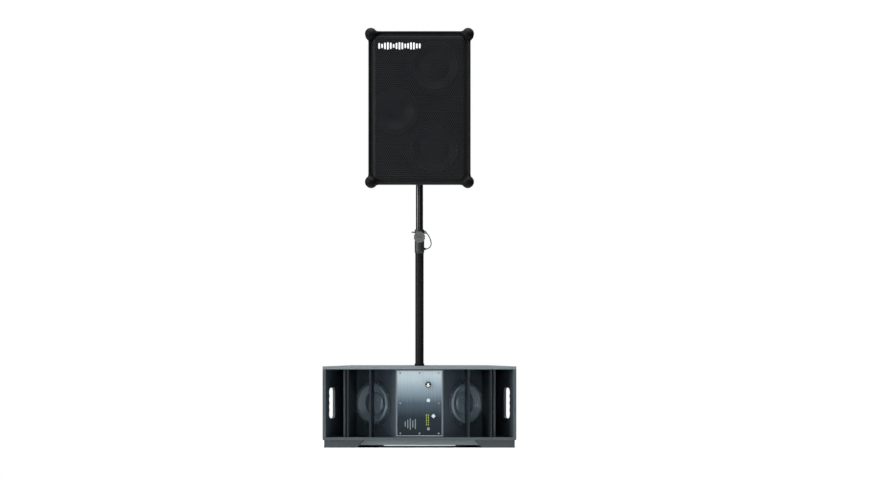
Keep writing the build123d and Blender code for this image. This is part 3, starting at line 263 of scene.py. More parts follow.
def coated(name, colour, worn, roughness, grain_mm, lift_mm, **sockets):
    """A finished coated material. sockets are set on the shader, such as Metallic."""
    material, tree, shader = shaded(name)
    coat(tree, shader, colour, worn, roughness, grain_mm, lift_mm)
    for key, value in sockets.items():
        shader.inputs[key.replace("_", " ")].default_value = value
    return material


# %% [markdown]
# Each material is named for what the real one is. The cabinet of the top box is sprayed with a
# tough textured coating, the grille and the pole are powder-coated steel, the corners are rubber.

# %% Coated materials
studio_paper = coated("studio_paper", "f4f4f4", "f7f7f7", 0.9, 30, 0.0)
# Sprayed polyurea: hard, dull and pebbly, so it shows no sharp reflection.
cabinet_coating = coated("textured_cabinet_coating", "101011", "161618", 0.62, 2.2, 0.35,
                         Specular_IOR_Level=0.25)
# Anodised aluminium: smooth enough for a fine line of light along each bead.
frame_anodised = coated("black_anodised_frame", "0d0d0e", "131315", 0.38, 1.5, 0.03,
                        Specular_IOR_Level=0.3)
# Powder coat on steel: an even satin, a little lighter than what lies in shadow behind it.
grille_powder = coated("powder_coated_grille", "232427", "2a2b2e", 0.5, 1.5, 0.05,
                       Specular_IOR_Level=0.15)
# Moulded rubber: soft, nearly black, with no gloss to speak of.
corner_rubber = coated("moulded_corner_rubber", "080808", "0d0d0d", 0.55, 1.5, 0.06,
                       Specular_IOR_Level=0.09)
# The lower tube is powder-coated and dull. The upper one slides, so it is polished and enamelled.
pole_powder = coated("powder_coated_tube", "0d0d0e", "131314", 0.5, 1.2, 0.04,
                     Specular_IOR_Level=0.13)
pole_enamel = coated("polished_enamel_tube", "0d0d0e", "121213", 0.2, 1.2, 0.0,
                     Specular_IOR_Level=0.4)
# Glass-filled nylon: satin, with faint streaks where the melt flowed.
nylon = coated("glass_filled_nylon", "1a1a1c", "222224", 0.5, 1.6, 0.08)
# The clamp knob is a paler grey nylon.
grip_nylon = coated("pale_grey_grip_nylon", "4b4c4e", "5a5b5d", 0.42, 1.6, 0.1)
panel_plastic = coated("moulded_panel_plastic", "141416", "1a1a1c", 0.48, 1.8, 0.08)
guide_plastic = coated("satin_waveguide_plastic", "101011", "151516", 0.4, 2.0, 0.02,
                       Specular_IOR_Level=0.2)
battery_plastic = coated("battery_case_plastic", "2b2c30", "333438", 0.5, 1.8, 0.08)
# Inside the top box everything is flat black, so that only faint rings show through the sheet.
baffle_black = coated("flat_black_baffle_paint", "080808", "0c0c0d", 0.75, 2.0, 0.1,
                      Specular_IOR_Level=0.15)
basket_black = coated("black_basket_coating", "0a0a0b", "0f0f10", 0.5, 1.5, 0.05,
                      Specular_IOR_Level=0.15)
basket_coating = coated("slate_basket_coating", "333c42", "3d474e", 0.42, 1.5, 0.05)
magnet_steel = coated("passivated_magnet_steel", "3a3b3d", "45464a", 0.45, 2.5, 0.05, Metallic=0.8)
core_metal = coated("cast_heat_sink", "4a4b4e", "58595c", 0.5, 2.0, 0.06, Metallic=0.9)
# Slate paint on the skids and vanes, the same can as the box. Their darker colour is painted shade,
# for the less light that they stand in.
skid_painted_shade = coated("slate_skid_paint_painted_shade", "252c2f", "2d3438", 0.6, 2.5, 0.3)
vane_painted_shade = coated("slate_vane_paint_painted_shade", "0e151a", "141d23", 0.5, 2.2, 0.2,
                    Specular_IOR_Level=0.2)
# The rail's pale colour is painted light: paler than the slate of the skids, for the pale band of
# light under the cabinet.
rail_painted_light = coated("rail_paint_painted_floor_light", "5d686c", "6a757a", 0.7, 2.5, 0.2)
white_enamel = coated("white_enamel", "eef0f0", "f6f7f7", 0.3, 1.5, 0.01)
printed_grey = coated("screen_printed_grey", "5d686e", "69747a", 0.5, 1.5, 0.0)
button_plastic = coated("satin_button_plastic", "a9b2b6", "b6bfc3", 0.3, 1.5, 0.01)
# Coated pulp: fibres pressed in a mould, then sealed, which leaves a soft satin.
cone_pulp = coated("coated_pulp_cone", "65757e", "748590", 0.4, 3.0, 0.12)
cap_pulp = coated("pressed_dust_cap", "53626b", "63727b", 0.27, 3.0, 0.05)
# A pale foam roll, so the moving part looks as wide as the basket's mouth.
roll_foam = coated("surround_foam", "64737c", "72828c", 0.3, 1.5, 0.02)
woofer_pulp = coated("black_woofer_pulp", "0b0b0c", "101012", 0.5, 3.0, 0.1,
                     Specular_IOR_Level=0.2)
# Zinc and chrome are bare metal, so nearly all that they show is the room.
bright_zinc = coated("bright_zinc", "73787c", "83888d", 0.34, 1.5, 0.02, Metallic=1.0)
# The knob's skirt is chrome over a dark tint, so that its bright cap stands out.
smoked_chrome = coated("smoked_chrome", "4f565a", "5b6266", 0.22, 1.5, 0.0, Metallic=1.0)
chrome = coated("polished_chrome", "a8aeb2", "b8bec2", 0.16, 1.5, 0.0, Metallic=1.0)
cord_coating = coated("coated_wire_rope", "0c0c0d", "141415", 0.45, 1.5, 0.05)

floor.data.materials.append(studio_paper)
print(len(bpy.data.materials), "coated materials")

# %% [markdown]
# The subwoofer's boards are slate outside. Inside them a darker colour is painted shade, for the
# shade deep in the mouths, and the top board's paler slate is painted light from above. A board is
# one CAD node, so its material has to know where it is. In object coordinates the outside is
# whatever lies on the cabinet's outer planes, and the two toed-in sides are one plane each once x
# is made positive.

# %% The subwoofer's paint, with painted shade inside
TOE = math.radians(16.5)
side_low, side_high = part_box("sub_top_panel")
base_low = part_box("sub_bottom_panel")[0]
SKIN = 0.6 * MM
BOARD_ROUGHNESS = 0.5
BOARD_GRAIN_MM = 2.2
BOARD_LIFT_MM = 0.25


def over(tree, value, limit):
    """1 where a value is over a limit, else 0."""
    return put(tree, "ShaderNodeMath", {0: value, 1: limit}, operation="GREATER_THAN").outputs[0]


def two_colour_paint_and_painted_shade(name, outside, outside_worn, inside, inside_worn):
    """Slate on the cabinet's outer planes, and the inside colour on everything inside them, which
    is painted shade where it is darker.
    """
    material, tree, shader = shaded(name)
    place = put(tree, "ShaderNodeTexCoord")
    axes = put(tree, "ShaderNodeSeparateXYZ", {"Vector": place.outputs["Object"]})
    x, y, z = (axes.outputs[axis] for axis in "XYZ")
    wide = put(tree, "ShaderNodeMath", {0: x}, operation="ABSOLUTE").outputs[0]
    wide_part = put(tree, "ShaderNodeMath", {0: wide, 1: math.cos(TOE)}, operation="MULTIPLY")
    reach = put(tree, "ShaderNodeMath", {0: y, 1: math.sin(TOE), 2: wide_part.outputs[0]},
                operation="MULTIPLY_ADD").outputs[0]
    side_plane = side_high[0] * math.cos(TOE) + side_low[1] * math.sin(TOE)
    minus_y = put(tree, "ShaderNodeMath", {0: y, 1: -1}, operation="MULTIPLY").outputs[0]
    minus_z = put(tree, "ShaderNodeMath", {0: z, 1: -1}, operation="MULTIPLY").outputs[0]
    faces = [
        over(tree, reach, side_plane - SKIN),
        over(tree, minus_y, -side_low[1] - SKIN),
        over(tree, y, side_high[1] - SKIN),
        over(tree, z, side_high[2] - SKIN),
        over(tree, minus_z, -base_low[2] - SKIN),
    ]
    mask = faces[0]
    for face in faces[1:]:
        mask = put(tree, "ShaderNodeMath", {0: mask, 1: face}, operation="MAXIMUM").outputs[0]
    shades = []
    for inner, outer in ((inside, outside), (inside_worn, outside_worn)):
        shade = put(tree, "ShaderNodeMix", {"Factor": mask}, data_type="RGBA")
        shade.inputs[COLOUR_A].default_value = linear(inner)
        shade.inputs[COLOUR_B].default_value = linear(outer)
        shades.append(shade.outputs[MIXED])
    coat(tree, shader, *shades, BOARD_ROUGHNESS, BOARD_GRAIN_MM, BOARD_LIFT_MM)
    return material


# The inside colour is painted shade: darker than the slate outside, for the shade in the mouths.
INSIDE_PAINTED_SHADE = ("262e35", "2d363e")
board_paint = two_colour_paint_and_painted_shade("slate_board_paint_painted_shade_inside", "2d3539", "363e42", *INSIDE_PAINTED_SHADE)
# The top board's paler slate is painted light: the top catches the overhead light.
top_board_painted_light = two_colour_paint_and_painted_shade("top_board_paint_painted_top_light", "5a6468", "677175", *INSIDE_PAINTED_SHADE)
baffle_paint = two_colour_paint_and_painted_shade("slate_baffle_paint", "353c40", "3e4549", "333d45", "3d4850")
print("side panels lean in by", round(math.degrees(TOE), 1), "degrees")

# %% [markdown]
# The amplifier plate is brushed aluminium. Its colour fades from silver at the top to slate at the
# bottom, and this fade is painted light: a lit top over a shaded bottom. Brush marks are a noise
# that is stretched a few hundred times along the stroke, here upright. They move the colour, the
# gloss and the bump together, as real scratches do.


# %% Brushed plate
plate_low, plate_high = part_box("amp_plate")
BRUSH_MM = 1.6  # real brush marks are finer, but would not show
BRUSH_STRETCH = (1, 1, 0.012)
BRUSH_CONTRAST = 0.16


def brushed_plate_painted_light():
    """Upright brush marks over a fade from silver to slate, which is painted light: lit at the top,
    shaded at the bottom.
    """
    material, tree, shader = shaded("brushed_aluminium_painted_light_fade")
    marks = noise(tree, BRUSH_MM, 4, BRUSH_STRETCH)
    place = put(tree, "ShaderNodeTexCoord")
    axes = put(tree, "ShaderNodeSeparateXYZ", {"Vector": place.outputs["Object"]})
    rise = put(tree, "ShaderNodeMapRange", {"Value": axes.outputs["Z"],
                                            "From Min": plate_low[2], "From Max": plate_high[2]})
    shaken = put(tree, "ShaderNodeMath", {0: marks.outputs["Fac"], 1: BRUSH_CONTRAST,
                                          2: rise.outputs["Result"]}, operation="MULTIPLY_ADD")
    level = put(tree, "ShaderNodeMath", {0: shaken.outputs[0], 1: BRUSH_CONTRAST / 2},
                operation="SUBTRACT")
    fade = put(tree, "ShaderNodeValToRGB", {"Fac": level.outputs[0]})
    # Painted light: slate at the bottom and silver at the top, for a lit top over a shaded bottom.
    stops = ((0.0, "0e181f"), (0.28, "131f27"), (0.5, "3b4852"), (0.72, "76858e"),
             (1.0, "acbac0"))
    while len(fade.color_ramp.elements) < len(stops):
        fade.color_ramp.elements.new(0.5)
    for element, (position, colour) in zip(fade.color_ramp.elements, stops):
        element.position = position
        element.color = linear(colour)
    tree.links.new(fade.outputs["Color"], shader.inputs["Base Color"])
    gloss = put(tree, "ShaderNodeMapRange", {"Value": marks.outputs["Fac"],
                                             "To Min": 0.34, "To Max": 0.5})
    tree.links.new(gloss.outputs["Result"], shader.inputs["Roughness"])
    bump = put(tree, "ShaderNodeBump", {"Height": marks.outputs["Fac"], "Strength": 0.4,
                                        "Distance": 0.05 * MM})
    tree.links.new(bump.outputs["Normal"], shader.inputs["Normal"])
    shader.inputs["Metallic"].default_value = 0.35
    shader.inputs["Specular IOR Level"].default_value = 0.2
    return material


plate_metal = brushed_plate_painted_light()


def glowing(name, colour, strength):
    """A lit lens: its own colour, and light of that colour."""
    material, tree, shader = shaded(name)
    haze = noise(tree, 2, 1)
    mix = put(tree, "ShaderNodeMix", {"Factor": haze.outputs["Fac"]}, data_type="RGBA")
    mix.inputs[COLOUR_A].default_value = linear(colour)
    mix.inputs[COLOUR_B].default_value = linear("b9c45a")
    tree.links.new(mix.outputs[MIXED], shader.inputs["Base Color"])
    shader.inputs["Emission Color"].default_value = linear(colour)
    shader.inputs["Emission Strength"].default_value = strength
    shader.inputs["Roughness"].default_value = 0.25
    return material


meter_glow = glowing("lit_meter_lens", "7f8a34", 0.16)
print("plate fades over", round(plate_high[2] - plate_low[2], 3), "m")

# %% [markdown]
# The CAD record gives every node a material slot. Most nodes take their slot's material. A few
# carry painted light or shade for the light they stand in, or are finished another way, so they
# are named one by one.

# %% Materials on the CAD nodes
SLOT_MATERIALS = {
    "painted_ply": board_paint,
    "dark_ply": baffle_paint,
    "skid_ply": skid_painted_shade,
    "amp_metal": plate_metal,
    "amp_core": core_metal,
    "screw_steel": bright_zinc,
    "knob_chrome": chrome,
    "button_plastic": button_plastic,
    "meter_light": meter_glow,
    "socket_metal": bright_zinc,
    "basket_metal": basket_coating,
    "magnet_steel": magnet_steel,
    "cone_paper": woofer_pulp,
    "pole_black": pole_powder,
    "pole_plastic": nylon,
    "pin_steel": bright_zinc,
    "cord_black": cord_coating,
    "soft_rubber": corner_rubber,
    "cabinet_black": cabinet_coating,
    "frame_black": frame_anodised,
    "grille_black": grille_powder,
    "panel_plastic": panel_plastic,
    "guide_plastic": guide_plastic,
    "battery_case": battery_plastic,
}
NODE_MATERIALS = {
    "sub_top_panel": top_board_painted_light,
    "upper_tube": pole_enamel,
    "plinth_rail": rail_painted_light,
    "clamp_knob": grip_nylon,
    "speaker_baffle": baffle_black,
    "woofer_basket_lower": basket_black,
    "woofer_basket_upper": basket_black,
    "outer_vane_left": vane_painted_shade,
    "outer_vane_right": vane_painted_shade,
    "inner_vane_left": vane_painted_shade,
    "inner_vane_right": vane_painted_shade,
}
for row in frame["record"]["subparts"]:
    node = frame["nodes"][row["node"]]
    node.data.materials.clear()
    finish = NODE_MATERIALS.get(row["node"], SLOT_MATERIALS[row["material_slot"]])
    node.data.materials.append(finish)
print(len(frame["nodes"]), "CAD nodes dressed")

# %% [markdown]
# The grille is a steel sheet punched with thousands of hexagonal holes. One cell of the pattern is
# a hexagon with a hexagonal hole and the hole's walls, made by extruding and shrinking a face.
# Geometry Nodes set it on a lattice whose odd rows are shifted by half a pitch, and weld the cells.


# %% Geometry Nodes helpers
def new_tree(name, numbers):
    """A geometry tree with a Geometry socket each way and one named number for each size."""
    tree = bpy.data.node_groups.new(name, "GeometryNodeTree")
    tree.interface.new_socket("Geometry", in_out="INPUT", socket_type="NodeSocketGeometry")
    tree.interface.new_socket("Geometry", in_out="OUTPUT", socket_type="NodeSocketGeometry")
    for label in numbers:
        tree.interface.new_socket(label, in_out="INPUT", socket_type="NodeSocketFloat")
    return tree, put(tree, "NodeGroupInput"), put(tree, "NodeGroupOutput")


def step_face(tree, mesh, chosen, rise, scale):
    """Extrudes the chosen faces by a rise and scales the new top. Returns the mesh and the top."""
    grown = put(tree, "GeometryNodeExtrudeMesh", {"Mesh": mesh, "Offset Scale": rise})
    if chosen is not None:
        tree.links.new(chosen, grown.inputs["Selection"])
    shrunk = put(tree, "GeometryNodeScaleElements", {"Geometry": grown.outputs["Mesh"],
                                                     "Selection": grown.outputs["Top"],
                                                     "Scale": scale})
    return shrunk.outputs[0], grown.outputs["Top"]


def number(tree, operation, first, second):
    """One Math node's result."""
    return put(tree, "ShaderNodeMath", {0: first, 1: second}, operation=operation).outputs[0]


def made_by(tree, name, values, material, base=None):
    """Runs a geometry tree with its named sizes and returns the result as a plain mesh object."""
    carrier = bpy.data.objects.new(name + "_carrier", base or bpy.data.meshes.new(name + "_base"))
    bpy.context.scene.collection.objects.link(carrier)
    carrier.data.materials.append(material)
    modifier = carrier.modifiers.new("pattern", "NODES")
    modifier.node_group = tree
    for item in tree.interface.items_tree:
        if item.in_out == "INPUT" and item.name in values:
            modifier[item.identifier] = values[item.name]
    ready = carrier.evaluated_get(bpy.context.evaluated_depsgraph_get())
    mesh = bpy.data.meshes.new_from_object(ready)
    bpy.data.objects.remove(carrier)
    return keep_object(name, mesh)


WELD = 0.05 * MM


def perforation_tree(material):
    """A flat sheet in XY, punched with hexagonal holes on a staggered lattice."""
    tree, given, result = new_tree("perforation", ("Width", "Height", "Pitch", "Bar", "Sheet"))
    width, height, pitch, bar, sheet = (given.outputs[n] for n in
                                        ("Width", "Height", "Pitch", "Bar", "Sheet"))
    row_step = number(tree, "MULTIPLY", pitch, math.sqrt(3) / 2)
    columns = number(tree, "FLOOR", number(tree, "DIVIDE", width, pitch), 0)
    rows = number(tree, "FLOOR", number(tree, "DIVIDE", height, row_step), 0)
    lattice = put(tree, "GeometryNodeMeshGrid", {
        "Size X": number(tree, "MULTIPLY", number(tree, "SUBTRACT", columns, 1), pitch),
        "Size Y": number(tree, "MULTIPLY", number(tree, "SUBTRACT", rows, 1), row_step),
        "Vertices X": columns, "Vertices Y": rows})
    index = put(tree, "GeometryNodeInputIndex").outputs[0]
    odd = number(tree, "MODULO", number(tree, "MODULO", index, rows), 2)
    quarter = number(tree, "MULTIPLY", pitch, 0.25)
    shift = number(tree, "SUBTRACT", number(tree, "MULTIPLY", odd, number(
        tree, "MULTIPLY", pitch, 0.5)), quarter)
    offset = put(tree, "ShaderNodeCombineXYZ", {"X": shift})
    staggered = put(tree, "GeometryNodeSetPosition", {"Geometry": lattice.outputs["Mesh"],
                                                      "Offset": offset.outputs[0]})
    corner_radius = number(tree, "DIVIDE", pitch, math.sqrt(3))
    blank = put(tree, "GeometryNodeMeshCircle", {"Vertices": 6, "Radius": corner_radius},
                fill_type="NGON")
    hole_share = number(tree, "SUBTRACT", 1, number(tree, "DIVIDE", bar, pitch))
    ring, top = step_face(tree, blank.outputs["Mesh"], None, 0.0, hole_share)
    walled, top = step_face(tree, ring, top, number(tree, "MULTIPLY", sheet, -1), 1.0)
    open_cell = put(tree, "GeometryNodeDeleteGeometry", {"Geometry": walled, "Selection": top},
                    domain="FACE")
    turned = put(tree, "GeometryNodeTransform", {"Geometry": open_cell.outputs[0],
                                                 "Rotation": (0, 0, math.radians(30))})
    cells = put(tree, "GeometryNodeInstanceOnPoints", {"Points": staggered.outputs[0],
                                                       "Instance": turned.outputs[0]})
    real = put(tree, "GeometryNodeRealizeInstances", {"Geometry": cells.outputs[0]})
    welded = put(tree, "GeometryNodeMergeByDistance", {"Geometry": real.outputs[0],
                                                       "Distance": WELD})
    painted = put(tree, "GeometryNodeSetMaterial", {"Geometry": welded.outputs[0]})
    painted.inputs["Material"].default_value = material
    tree.links.new(painted.outputs[0], result.inputs[0])
    return tree


# %% [markdown]
# The sheet's margins slope back to the frame, so the flat lattice is folded: past a fold line each
# point turns down the slope, first across and then up. A solid rim closes the ragged edge.

# %% The grille
HOLE_PITCH = 9.0 * MM
HOLE_BAR = 2.6 * MM
GRILLE_SHEET = 1.5 * MM
FOLD_WIDTH = 17 * MM
FOLD_DEPTH = 8 * MM

grille_low, grille_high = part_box("grille")
half_width = (grille_high[0] - grille_low[0]) / 2
half_height = (grille_high[2] - grille_low[2]) / 2
grille_middle = (grille_high[2] + grille_low[2]) / 2
slope_length = math.hypot(FOLD_WIDTH, FOLD_DEPTH)
slope_angle = math.atan2(FOLD_DEPTH, FOLD_WIDTH)


def folded(value, half):
    """A flat distance from the middle, as its place and its drop once the margin is folded."""
    past = max(abs(value) - (half - FOLD_WIDTH), 0.0)
    kept = abs(value) - past + past * math.cos(slope_angle)
    return math.copysign(kept, value), past * math.sin(slope_angle)


grille = made_by(
    perforation_tree(grille_powder),
    "grille_sheet",
    {"Width": 2 * (half_width - FOLD_WIDTH + slope_length),
     "Height": 2 * (half_height - FOLD_WIDTH + slope_length),
     "Pitch": HOLE_PITCH, "Bar": HOLE_BAR, "Sheet": GRILLE_SHEET},
    grille_powder,
)
for vertex in grille.data.vertices:
    across, drop_across = folded(vertex.co.x, half_width)
    up, drop_up = folded(vertex.co.y, half_height)
    depth = grille_low[1] + drop_across + drop_up - vertex.co.z
    vertex.co = (across, min(depth, grille_low[1] + 2 * FOLD_DEPTH), grille_middle + up)
dress(grille, grille_powder, "speaker", "grille_black", "grille")
print("grille faces", len(grille.data.polygons))


def mitred_frame(name, half_x, half_z, middle, front, profile):
    """A closed profile swept round a rectangle. profile is (inward, back) from the front corner."""
    shape = bmesh.new()
    loops = []
    for sign_x, sign_z in ((-1, -1), (1, -1), (1, 1), (-1, 1)):
        loops.append([
            shape.verts.new((sign_x * (half_x - inward), front + back,
                             middle + sign_z * (half_z - inward)))
            for inward, back in profile
        ])
    for here, there in zip(loops, loops[1:] + loops[:1]):
        for i in range(len(profile)):
            j = (i + 1) % len(profile)
            shape.faces.new((here[i], here[j], there[j], there[i]))
    return keep_mesh(name, shape)


RIM_DEPTH = 19 * MM
rim_profile = [(0, FOLD_DEPTH * 0.8), (0, RIM_DEPTH), (2 * MM, RIM_DEPTH),
               (3.4 * MM, FOLD_DEPTH * 0.72)]
grille_rim = mitred_frame("grille_rim", half_width, half_height, grille_middle, grille_low[1],
                          rim_profile)
dress(grille_rim, grille_powder, "speaker", "grille_black")

# %% [markdown]
# The frame round the grille is an extruded profile, mitred at the corners. From the front it shows
# as three fine lines: a rounded outer bead, a groove and an inner lip. A sweep of that profile
# gives the lines real highlights, which a painted line would not.

# %% The front frame
frame_low, frame_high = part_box("front_frame")
BEAD = [(0, 20), (0, 3.2), (0.5, 1.6), (1.6, 0.5), (3.0, 0.0), (4.4, 0.5), (5.2, 1.6), (5.4, 3.4),
        (6.0, 4.0), (7.0, 4.0), (7.4, 3.2), (8.2, 2.6), (9.2, 3.0), (10, 4.2), (10, 20)]
front_frame = mitred_frame("front_frame_profile", frame_high[0], (frame_high[2] - frame_low[2]) / 2,
                           (frame_high[2] + frame_low[2]) / 2, frame_low[1], in_mm(BEAD))
dress(front_frame, frame_anodised, "speaker", "frame_black", "front_frame")
print("frame faces", len(front_frame.data.polygons))

# %% [markdown]
# Each rubber corner is a ball with a skirt that tapers along the three edges that meet there. The
# ball and three cones are joined by a voxel remesh, smoothed so that they flow into each other,
# and the finished corner is mirrored to all eight places.


# %% The rubber corners
BALL_RADIUS = 25 * MM
SKIRT_LENGTH = 36 * MM
SKIRT_WIDE = 15 * MM
SKIRT_NARROW = 5 * MM
SKIRT_INSET = 4.5 * MM
VOXEL = 2.2 * MM
RELAX_FACTOR = 0.6
RELAX_ROUNDS = 6

bumper_low, bumper_high = span("corner_bumpers")
shell_low, shell_high = span("cabinet_shell")
speaker_middle = (bumper_low + bumper_high) / 2
ball_place = (bumper_high - bumper_low) / 2 - Vector((BALL_RADIUS, BALL_RADIUS, BALL_RADIUS))
body_half = Vector((shell_high.x, -frame_low[1], (shell_high.z - shell_low.z) / 2))


def cone_between(shape, start, end, start_radius, end_radius):
    """Adds a closed cone from one point to another."""
    along = end - start
    turn = along.to_track_quat("Z", "Y").to_matrix().to_4x4()
    bmesh.ops.create_cone(shape, cap_ends=True, segments=32, radius1=start_radius,
                          radius2=end_radius, depth=along.length,
                          matrix=Matrix.Translation((start + end) / 2) @ turn)


def corner_mesh():
    """One corner, for the octant where x, y and z are all positive, about the box's middle."""
    shape = bmesh.new()
    bmesh.ops.create_uvsphere(shape, u_segments=40, v_segments=24, radius=BALL_RADIUS,
                              matrix=Matrix.Translation(ball_place))
    for axis in range(3):
        foot = body_half - Vector((SKIRT_INSET,) * 3)
        foot[axis] = ball_place[axis] - SKIRT_LENGTH
        cone_between(shape, ball_place, foot, SKIRT_WIDE, SKIRT_NARROW)
    mesh = bpy.data.meshes.new("corner")
    shape.to_mesh(mesh)
    shape.free()
    lump = bpy.data.objects.new("corner_lump", mesh)
    bpy.context.scene.collection.objects.link(lump)
    remesh = lump.modifiers.new("join", "REMESH")
    remesh.mode = "VOXEL"
    remesh.voxel_size = VOXEL
    relax = lump.modifiers.new("relax", "SMOOTH")
    relax.factor = RELAX_FACTOR
    relax.iterations = RELAX_ROUNDS
    ready = lump.evaluated_get(bpy.context.evaluated_depsgraph_get())
    joined = bpy.data.meshes.new_from_object(ready)
    bpy.data.objects.remove(lump)
    return joined


def mirrored_corners(mesh):
    """The corner in all eight octants, in one mesh, moved to the loudspeaker's middle."""
    shape = bmesh.new()
    for sign_x in (-1, 1):
        for sign_y in (-1, 1):
            for sign_z in (-1, 1):
                before = len(shape.faces)
                shape.from_mesh(mesh)
                shape.faces.ensure_lookup_table()
                fresh = shape.faces[before:]
                points = {v for face in fresh for v in face.verts}
                place = Matrix.Diagonal((sign_x, sign_y, sign_z, 1))
                bmesh.ops.transform(shape, matrix=Matrix.Translation(speaker_middle) @ place,
                                    verts=list(points))
    return shape


corners = keep_mesh("rubber_corners", mirrored_corners(corner_mesh()), 60)
dress(corners, corner_rubber, "speaker", "soft_rubber", "corner_bumpers")
print("corner faces", len(corners.data.polygons))

# %% [markdown]
# The white mark on the grille is a plain row of rounded bars, like a level display, riveted
# through the mesh. Each bar is an outline of two half circles, extruded by its thickness.


# %% The badge on the grille
def rounded_bar(shape, centre_x, centre_z, width, height, front, thickness, turns=10, lying=False):
    """A bar with round ends, upright or lying, its front face at that y."""
    outline = []
    radius = width / 2
    for end in (1, -1):
        for step in range(turns + 1):
            angle = math.pi * step / turns + (0 if end == 1 else math.pi)
            outline.append((centre_x + radius * math.cos(angle),
                            centre_z + end * (height / 2 - radius) + radius * math.sin(angle)))
    if lying:
        outline = [(centre_x + z - centre_z, centre_z + x - centre_x) for x, z in outline]
    fronts = [shape.verts.new((x, front, z)) for x, z in outline]
    backs = [shape.verts.new((x, front + thickness, z)) for x, z in outline]
    shape.faces.new(fronts)
    shape.faces.new(list(reversed(backs)))
    for i in range(len(outline)):
        j = (i + 1) % len(outline)
        shape.faces.new((fronts[i], backs[i], backs[j], fronts[j]))


BADGE_LEFT = -173 * MM
BADGE_RIGHT = 7 * MM
BADGE_HEIGHT = 31 * MM
BADGE_DROP = 61.5 * MM  # from the cabinet's top to the badge's middle
BADGE_THICKNESS = 1.6 * MM
BAR_COUNT = 15
BAR_SHARE = 0.6  # of the pitch
SWING_STEP, SWING_START = 2.4, 0.6  # a sine walked in these steps gives uneven heights
bar_pitch = (BADGE_RIGHT - BADGE_LEFT) / BAR_COUNT
badge_shape = bmesh.new()
for bar in range(BAR_COUNT):
    swing = abs(math.sin(SWING_STEP * bar + SWING_START))
    rounded_bar(badge_shape, BADGE_LEFT + (bar + 0.5) * bar_pitch, shell_high.z - BADGE_DROP,
                bar_pitch * BAR_SHARE, BADGE_HEIGHT * (0.5 + 0.5 * swing),
                grille_low[1] - BADGE_THICKNESS, BADGE_THICKNESS)
badge = keep_mesh("level_bars_badge", badge_shape)
dress(badge, white_enamel, "speaker", "grille_black")
print(BAR_COUNT, "bars in the badge")

# %% [markdown]
# The subwoofer's drivers are seen in full, so each one is split into what the real one has: a
# gasket ring on the cast frame with a bright trim ring, a foam surround with one round roll, a
# coated cone with shallow ribs, and a pressed dust cap. They are all turned about one axis, so
# this cell makes turned shapes.


# %% Turned shapes
GRIP_SHARE = 0.86  # past this share of the widest radius, flutes are cut
TOUCHING = 0.01 * MM


def revolved(name, profile, axis_place, segments=96, flutes=0, flute_depth=0.0):
    """Turns a closed (radius, height) profile about a matrix's local Z, fluted where it is wide."""
    shape = bmesh.new()
    rings = []
    grip = GRIP_SHARE * max(radius for radius, _ in profile)
    for step in range(segments):
        angle = 2 * math.pi * step / segments
        cut = flute_depth * (0.5 - 0.5 * math.cos(flutes * angle))
        rings.append([
            shape.verts.new(((r - cut * (r > grip)) * math.cos(angle),
                             (r - cut * (r > grip)) * math.sin(angle), h))
            for r, h in profile
        ])
    for here, there in zip(rings, rings[1:] + rings[:1]):
        for i in range(len(profile)):
            j = (i + 1) % len(profile)
            shape.faces.new((here[i], there[i], there[j], here[j]))
    bmesh.ops.remove_doubles(shape, verts=shape.verts, dist=TOUCHING)
    bmesh.ops.transform(shape, matrix=axis_place, verts=shape.verts)
    return keep_mesh(name, shape)


def skin_of(line, thickness):
    """A thin closed profile: the line, and the same line lowered by the skin's thickness."""
    return line + [(radius, height - thickness) for radius, height in reversed(line)]


def arc_points(start, end, bulge, steps):
    """Points along a half wave from one (radius, height) to another, raised by the bulge."""
    (start_radius, start_height), (end_radius, end_height) = start, end
    points = []
    for step in range(steps + 1):
        t = step / steps
        lift = bulge * math.sin(math.pi * t)
        points.append((start_radius + (end_radius - start_radius) * t,
                       start_height + (end_height - start_height) * t + lift))
    return points


print("a half wave at its middle:", arc_points((0, 0), (2, 0), 1, 2)[1])

# %% [markdown]
# Each angled baffle carries one driver, so the same layers are made twice, once for each side.

# %% The subwoofer's drivers
BAFFLE_ANGLE = math.radians(41)
DRIVER_X_MM = 192
BAFFLE_X_MM = 100
BAFFLE_DEPTH_MM = 50
FRAME_RADIUS = 98 * MM
FLANGE = 5 * MM
RIM_RADIUS = 85 * MM
ROLL_OUT = 81 * MM
ROLL_IN = 69 * MM
CAP_RADIUS = 49 * MM
SEAT = 3.8 * MM
SKIN_THICKNESS = 1.2 * MM
CONE_FALL = 15 * MM
CAP_RISE = 17 * MM
TRIM_WIRE = 1.5 * MM
ROLL_RISE = 6 * MM
ROLL_STEPS, CONE_STEPS, CAP_STEPS, WIRE_STEPS = 16, 14, 16, 12
RIB_RISE = 0.5 * MM
RIBS_ON_CONE = 3
GASKET_RISE = 2.2 * MM
AXIS = 0.001 * MM  # turned profiles start this far from the axis, and are welded there


def driver_place(side):
    """The matrix that puts a driver's axis, local Z, on its angled baffle."""
    low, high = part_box("sub_basket_left" if side < 0 else "sub_basket_right")
    out = Vector((side * math.sin(BAFFLE_ANGLE), -math.cos(BAFFLE_ANGLE), 0))
    face_x = side * DRIVER_X_MM * MM
    along = (DRIVER_X_MM - BAFFLE_X_MM) * MM
    face_y = side_low[1] + BAFFLE_DEPTH_MM * MM + along * math.tan(BAFFLE_ANGLE)
    place = out.to_track_quat("Z", "Y").to_matrix().to_4x4()
    return Matrix.Translation((face_x, face_y, (low[2] + high[2]) / 2)) @ place


